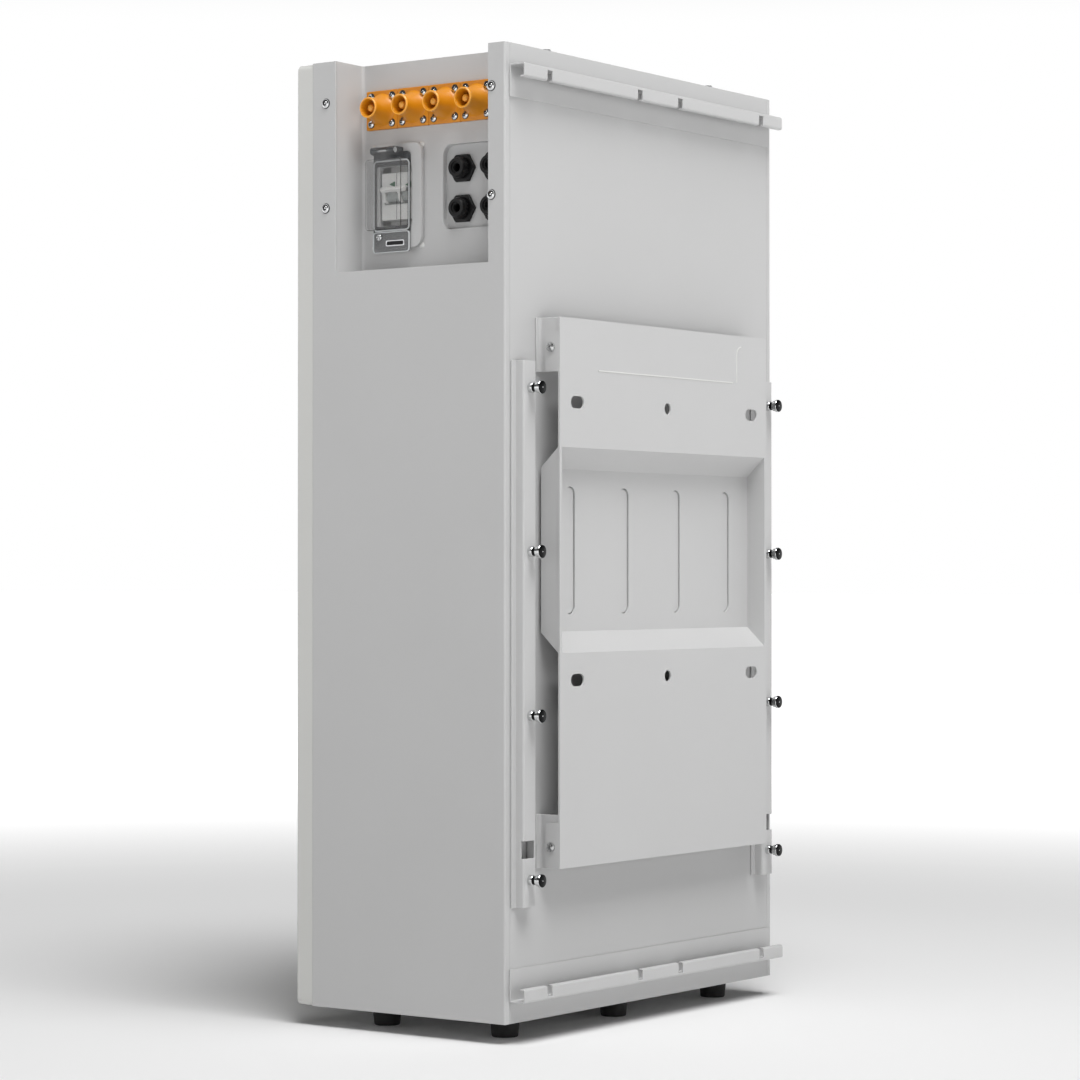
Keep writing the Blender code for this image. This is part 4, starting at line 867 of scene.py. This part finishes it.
reach, tip, corner, root = (lever[key] for key in ("reach", "tip", "corner", "root"))
armOutline = [raised(*spot) for spot in ((0, -root), (reach - corner, -tip), (reach, -tip + corner),
                                         (reach, tip - corner), (reach - corner, tip), (0, root))]
tieBack = reach - lever["tie"]
tieOutline = [raised(*spot) for spot in ((tieBack, -tip), (reach, -tip), (reach, tip), (tieBack, tip))]
left, right = windowY - lever["wide"], windowY + lever["wide"]
hubDrum = drawnOut([circle((pivotX, windowZ), lever["hub"], 48)], left, right, "Y")
# the hub drum, deep in the well, wears the same painted shade
leverBits = [(hubDrum, wellPaintedShade), (drawnOut([tieOutline], left, right, "Y", 0.0004), breakerWhite)]
for place in lever["cheeks"]:
    low, high = windowY + place - lever["half"], windowY + place + lever["half"]
    for outline in (armOutline, circle((pivotX, windowZ), lever["cheek"], 48)):
        leverBits.append((drawnOut([outline], low, high, "Y", 0.0003), breakerWhite))
joinedPiece("breakerLevers", leverBits, body="breaker_toggle",
            replaces=["breaker_toggle"])
joinedPiece("breakerMountingRail", [(softened(fromCad("din_rail"), sheetRim["thin"]), zincPlate)],
            replaces=["din_rail"])
print("breaker done")


# screws of the bay's cover, the top and the wall plate's ears

bayHead = {"radius": 0.0044, "height": 0.0020, "shank": 0.008}
bayScrew = pinScrew(**bayHead)
for end in ("front", "rear"):
    for level in ("top", "bottom"):
        node = f"bay_screw_{end}_{level}"
        middle, low, high = centreOf(node)
        place = (high.x - bayHead["height"], middle.y, middle.z)
        bits = [(standing(mesh, "X", place), paint) for mesh, paint in bayScrew]
        joinedPiece(f"bayScrew_{end}_{level}", bits, replaces=[node])
topHead = {"radius": 0.00425, "height": 0.005, "shank": 0.010}
topScrew = capScrew(**topHead)
for side in ("left", "right"):
    middle, low, high = centreOf(f"top_screw_{side}")
    placed = standing(topScrew, "Z", (middle.x, middle.y, high.z - topHead["height"]))
    joinedPiece(f"topScrew_{side}", [(placed, zincPlate)], replaces=[f"top_screw_{side}"])
earHead = {"radius": 0.0044, "height": 0.0024, "shank": 0.009}
earScrew = crossScrew(**earHead)
earTurn = 0.4  # radians, as the cross recess happens to stand
for side in ("left", "right"):
    for level in ("top", "bottom"):
        node = f"ear_screw_{side}_{level}"
        middle, low, high = centreOf(node)
        outermost = high.x if side == "right" else -low.x
        mesh = standing(earScrew, "X", (outermost - earHead["height"], middle.y, middle.z), earTurn)
        if side == "left":
            mesh.transform(Matrix.Scale(-1, 4, (1, 0, 0)))
            mesh = cleaned(mesh)
        joinedPiece(f"earScrew_{side}_{level}", [(mesh, zincPlate)], replaces=[node])
print("screws done")


# headed studs on the side rails, two columns of four

stud = {"bore": 0.0030, "collar": 0.0048, "neck": 0.0041, "sleeve": 0.0053, "rim": 0.0063, "head": 0.0060,
        "dot": 0.0006, "dish": 0.0005, "up": 0.1507}
nearStud, studSeat = centreOf("rail_stud_right_1")[:2]
topStud = centreOf("rail_stud_right_4")[0]
farStud = centreOf("rail_stud_left_1")[0]
studPlace = ((nearStud.x + farStud.x) / 2, studSeat.y, (nearStud.z + topStud.z) / 2)
studGrid = {"Columns": 2, "Rows": 4, "Across": nearStud.x - farStud.x, "Up": stud["up"]}
headR, dishR = stud["head"], stud["dish"]
headProfile = [(dishR, 0.0140), (0.0009, 0.01445), (headR - 0.0008, 0.0143), (headR - 0.0001, 0.0139),
               (headR, 0.0135), (headR, 0.0128), (dishR, 0.0128), (dishR, 0.0140)]
studLayers = (
    (ringProfile(stud["bore"], stud["collar"], -0.0002, 0.0042, highBreak=(0.0004, 0.0005)), chromePlate, 32),
    (ringProfile(0, stud["neck"], 0.0030, 0.012), blackOxide, 28),
    (ringProfile(stud["bore"], stud["sleeve"], 0.0078, 0.0113, lowBreak=(0.0003, 0.0004)), chromePlate, 32),
    (ringProfile(stud["bore"], stud["rim"], 0.0108, 0.0135, (0.0005, 0.0005), (0.0003, 0.0004)),
     chromePlate, 40),
    (headProfile, blackOxide, 40),
    (ringProfile(0, stud["dot"], 0.0128, 0.0142), chromePlate, 16),
)
studBits = [(stamped(gridTree, turnedOut(profile, steps=steps), paint, "Y", studPlace, **studGrid), paint)
            for profile, paint, steps in studLayers]
for mesh, paint in studBits:
    mesh.transform(Matrix.Translation((0, 2 * studSeat.y, 0)) @ Matrix.Scale(-1, 4, (0, 1, 0)))
    cleaned(mesh)
joinedPiece("railStuds", studBits,
            replaces=[f"rail_stud_{side}_{i}" for side in ("right", "left") for i in range(1, 5)])
print("rail studs done")


# rubber feet with a flange, a waist and a recessed screw underneath

footSizes = {"flange": 0.0145, "flangeHigh": 0.0040, "waist": 0.0136, "sole": 0.0118, "recess": 0.0055,
             "recessHigh": 0.0050, "screw": 0.0038}
flangeR, waist, sole = (footSizes[key] for key in ("flange", "waist", "sole"))
recess, recessHigh, screwR = (footSizes[key] for key in ("recess", "recessHigh", "screw"))
for row in ("rear", "front"):
    for place in ("left", "middle", "right"):
        node = f"foot_{row}_{place}"
        middle, low, high = centreOf(node)
        top = high.z - low.z
        underFlange = top - footSizes["flangeHigh"]
        profile = [(0, top), (flangeR, top), (flangeR, underFlange), (flangeR - 0.0006, underFlange - 0.0012),
                   (waist, underFlange - 0.0020), (waist - 0.0010, 0.0022), (sole + 0.0006, 0.0008),
                   (sole, 0), (recess + 0.0005, 0), (recess, 0.0006), (recess, recessHigh), (0, recessHigh)]
        foot = turnedOut(profile, "Z", (middle.x, middle.y, low.z), 48)
        screwProfile = [(0, 0.0032), (screwR - 0.0008, 0.0030), (screwR, 0.0042),
                        (screwR, recessHigh + 0.0002), (0, recessHigh + 0.0002)]
        screwHead = turnedOut(screwProfile, "Z", (middle.x, middle.y, low.z), 24)
        joinedPiece(f"rubberFoot_{row}_{place}", [(foot, footRubber), (screwHead, zincPlate)],
                    replaces=[node])
print("feet done")


# inside the case: cells, board and bars

innerRim = 0.0008
for node, paint, slot in (("battery_management_board", boardTray, "board_housing"),
                          ("bus_bar_positive", busCopper, "bus_copper"),
                          ("bus_bar_negative", busCopper, "bus_copper"),
                          ("cell_stack_left", cellFilm, "cell_blue"),
                          ("cell_stack_right", cellFilm, "cell_blue")):
    joinedPiece(node + "_made", [(softened(fromCad(node), innerRim), paint)], replaces=[node])
print("inside done")


# floor, light and camera

# a pale sheet under one softbox, which brightens with distance until it meets the white horizon
studio = {"horizon": 1.0, "zenith": 0.05, "bandTop": 0.165, "bandFade": 0.25, "sheetHalf": 60,
          "sheetNear": 1.0, "sheetFar": 4.0, "sheetGlow": 0.95, "boxPlace": (1.4, 2.6, 6.6),
          "boxTarget": (0, 0, 0.2), "boxSide": 4.0, "boxPower": 540}

floorMesh = bpy.data.meshes.new("floor")
half = studio["sheetHalf"]
sheetCorners = [(-half, -half, 0), (half, -half, 0), (half, half, 0), (-half, half, 0)]
floorMesh.from_pydata(sheetCorners, [], [(0, 1, 2, 3)])
floorPaint, floorTree, floorShader = newMaterial("paleFloor", "#ECECEC", 0.9)
spot = addNode(floorTree, "ShaderNodeTexCoord").outputs["Object"]
distance = addNode(floorTree, "ShaderNodeVectorMath", {"operation": "LENGTH"}, {0: spot})
glowRange = {"interpolation_type": "SMOOTHSTEP", "From Min": studio["sheetNear"],
             "From Max": studio["sheetFar"], "To Max": studio["sheetGlow"]}
glow = addNode(floorTree, "ShaderNodeMapRange", glowRange, {"Value": distance.outputs["Value"]})
floorShader.inputs["Emission Color"].default_value = (1, 1, 1, 1)
floorTree.links.new(glow.outputs["Result"], floorShader.inputs["Emission Strength"])
floorMesh.materials.append(floorPaint)
floor = bpy.data.objects.new("floor", floorMesh)
bpy.context.scene.collection.objects.link(floor)

world = bpy.data.worlds.new("studio")
bpy.context.scene.world = world
world.use_nodes = True
sky = world.node_tree
backdrop = sky.nodes["Background"]
where = addNode(sky, "ShaderNodeTexCoord").outputs["Generated"]
level = addNode(sky, "ShaderNodeSeparateXYZ", None, {0: where}).outputs["Z"]
skyRange = {"interpolation_type": "SMOOTHSTEP", "From Min": studio["bandTop"],
            "From Max": studio["bandFade"], "To Min": studio["horizon"], "To Max": studio["zenith"]}
brightness = addNode(sky, "ShaderNodeMapRange", skyRange, {"Value": level})
sky.links.new(brightness.outputs["Result"], backdrop.inputs["Strength"])
backdrop.inputs["Color"].default_value = (1, 1, 1, 1)

lamp = bpy.data.lights.new("overhead", "AREA")
lamp.shape = "RECTANGLE"
lamp.size = lamp.size_y = studio["boxSide"]
lamp.energy = studio["boxPower"]
softbox = bpy.data.objects.new("overhead", lamp)
bpy.context.scene.collection.objects.link(softbox)
aim = Vector(studio["boxTarget"]) - Vector(studio["boxPlace"])
turned = aim.to_track_quat("-Z", "Y").to_matrix().to_4x4()
softbox.matrix_world = Matrix.Translation(studio["boxPlace"]) @ turned

camera = bpy.data.objects.new("camera", bpy.data.cameras.new("camera"))
bpy.context.scene.collection.objects.link(camera)
camera.location = (2.6304, 1.8814, 0.4301)
camera.rotation_euler = [math.radians(a) for a in (90.611, 0, 125.792)]
camera.data.lens = 108.79
camera.data.sensor_width = 36
camera.data.clip_end = 200
bpy.context.scene.camera = camera
bpy.context.scene.view_settings.view_transform = "Standard"
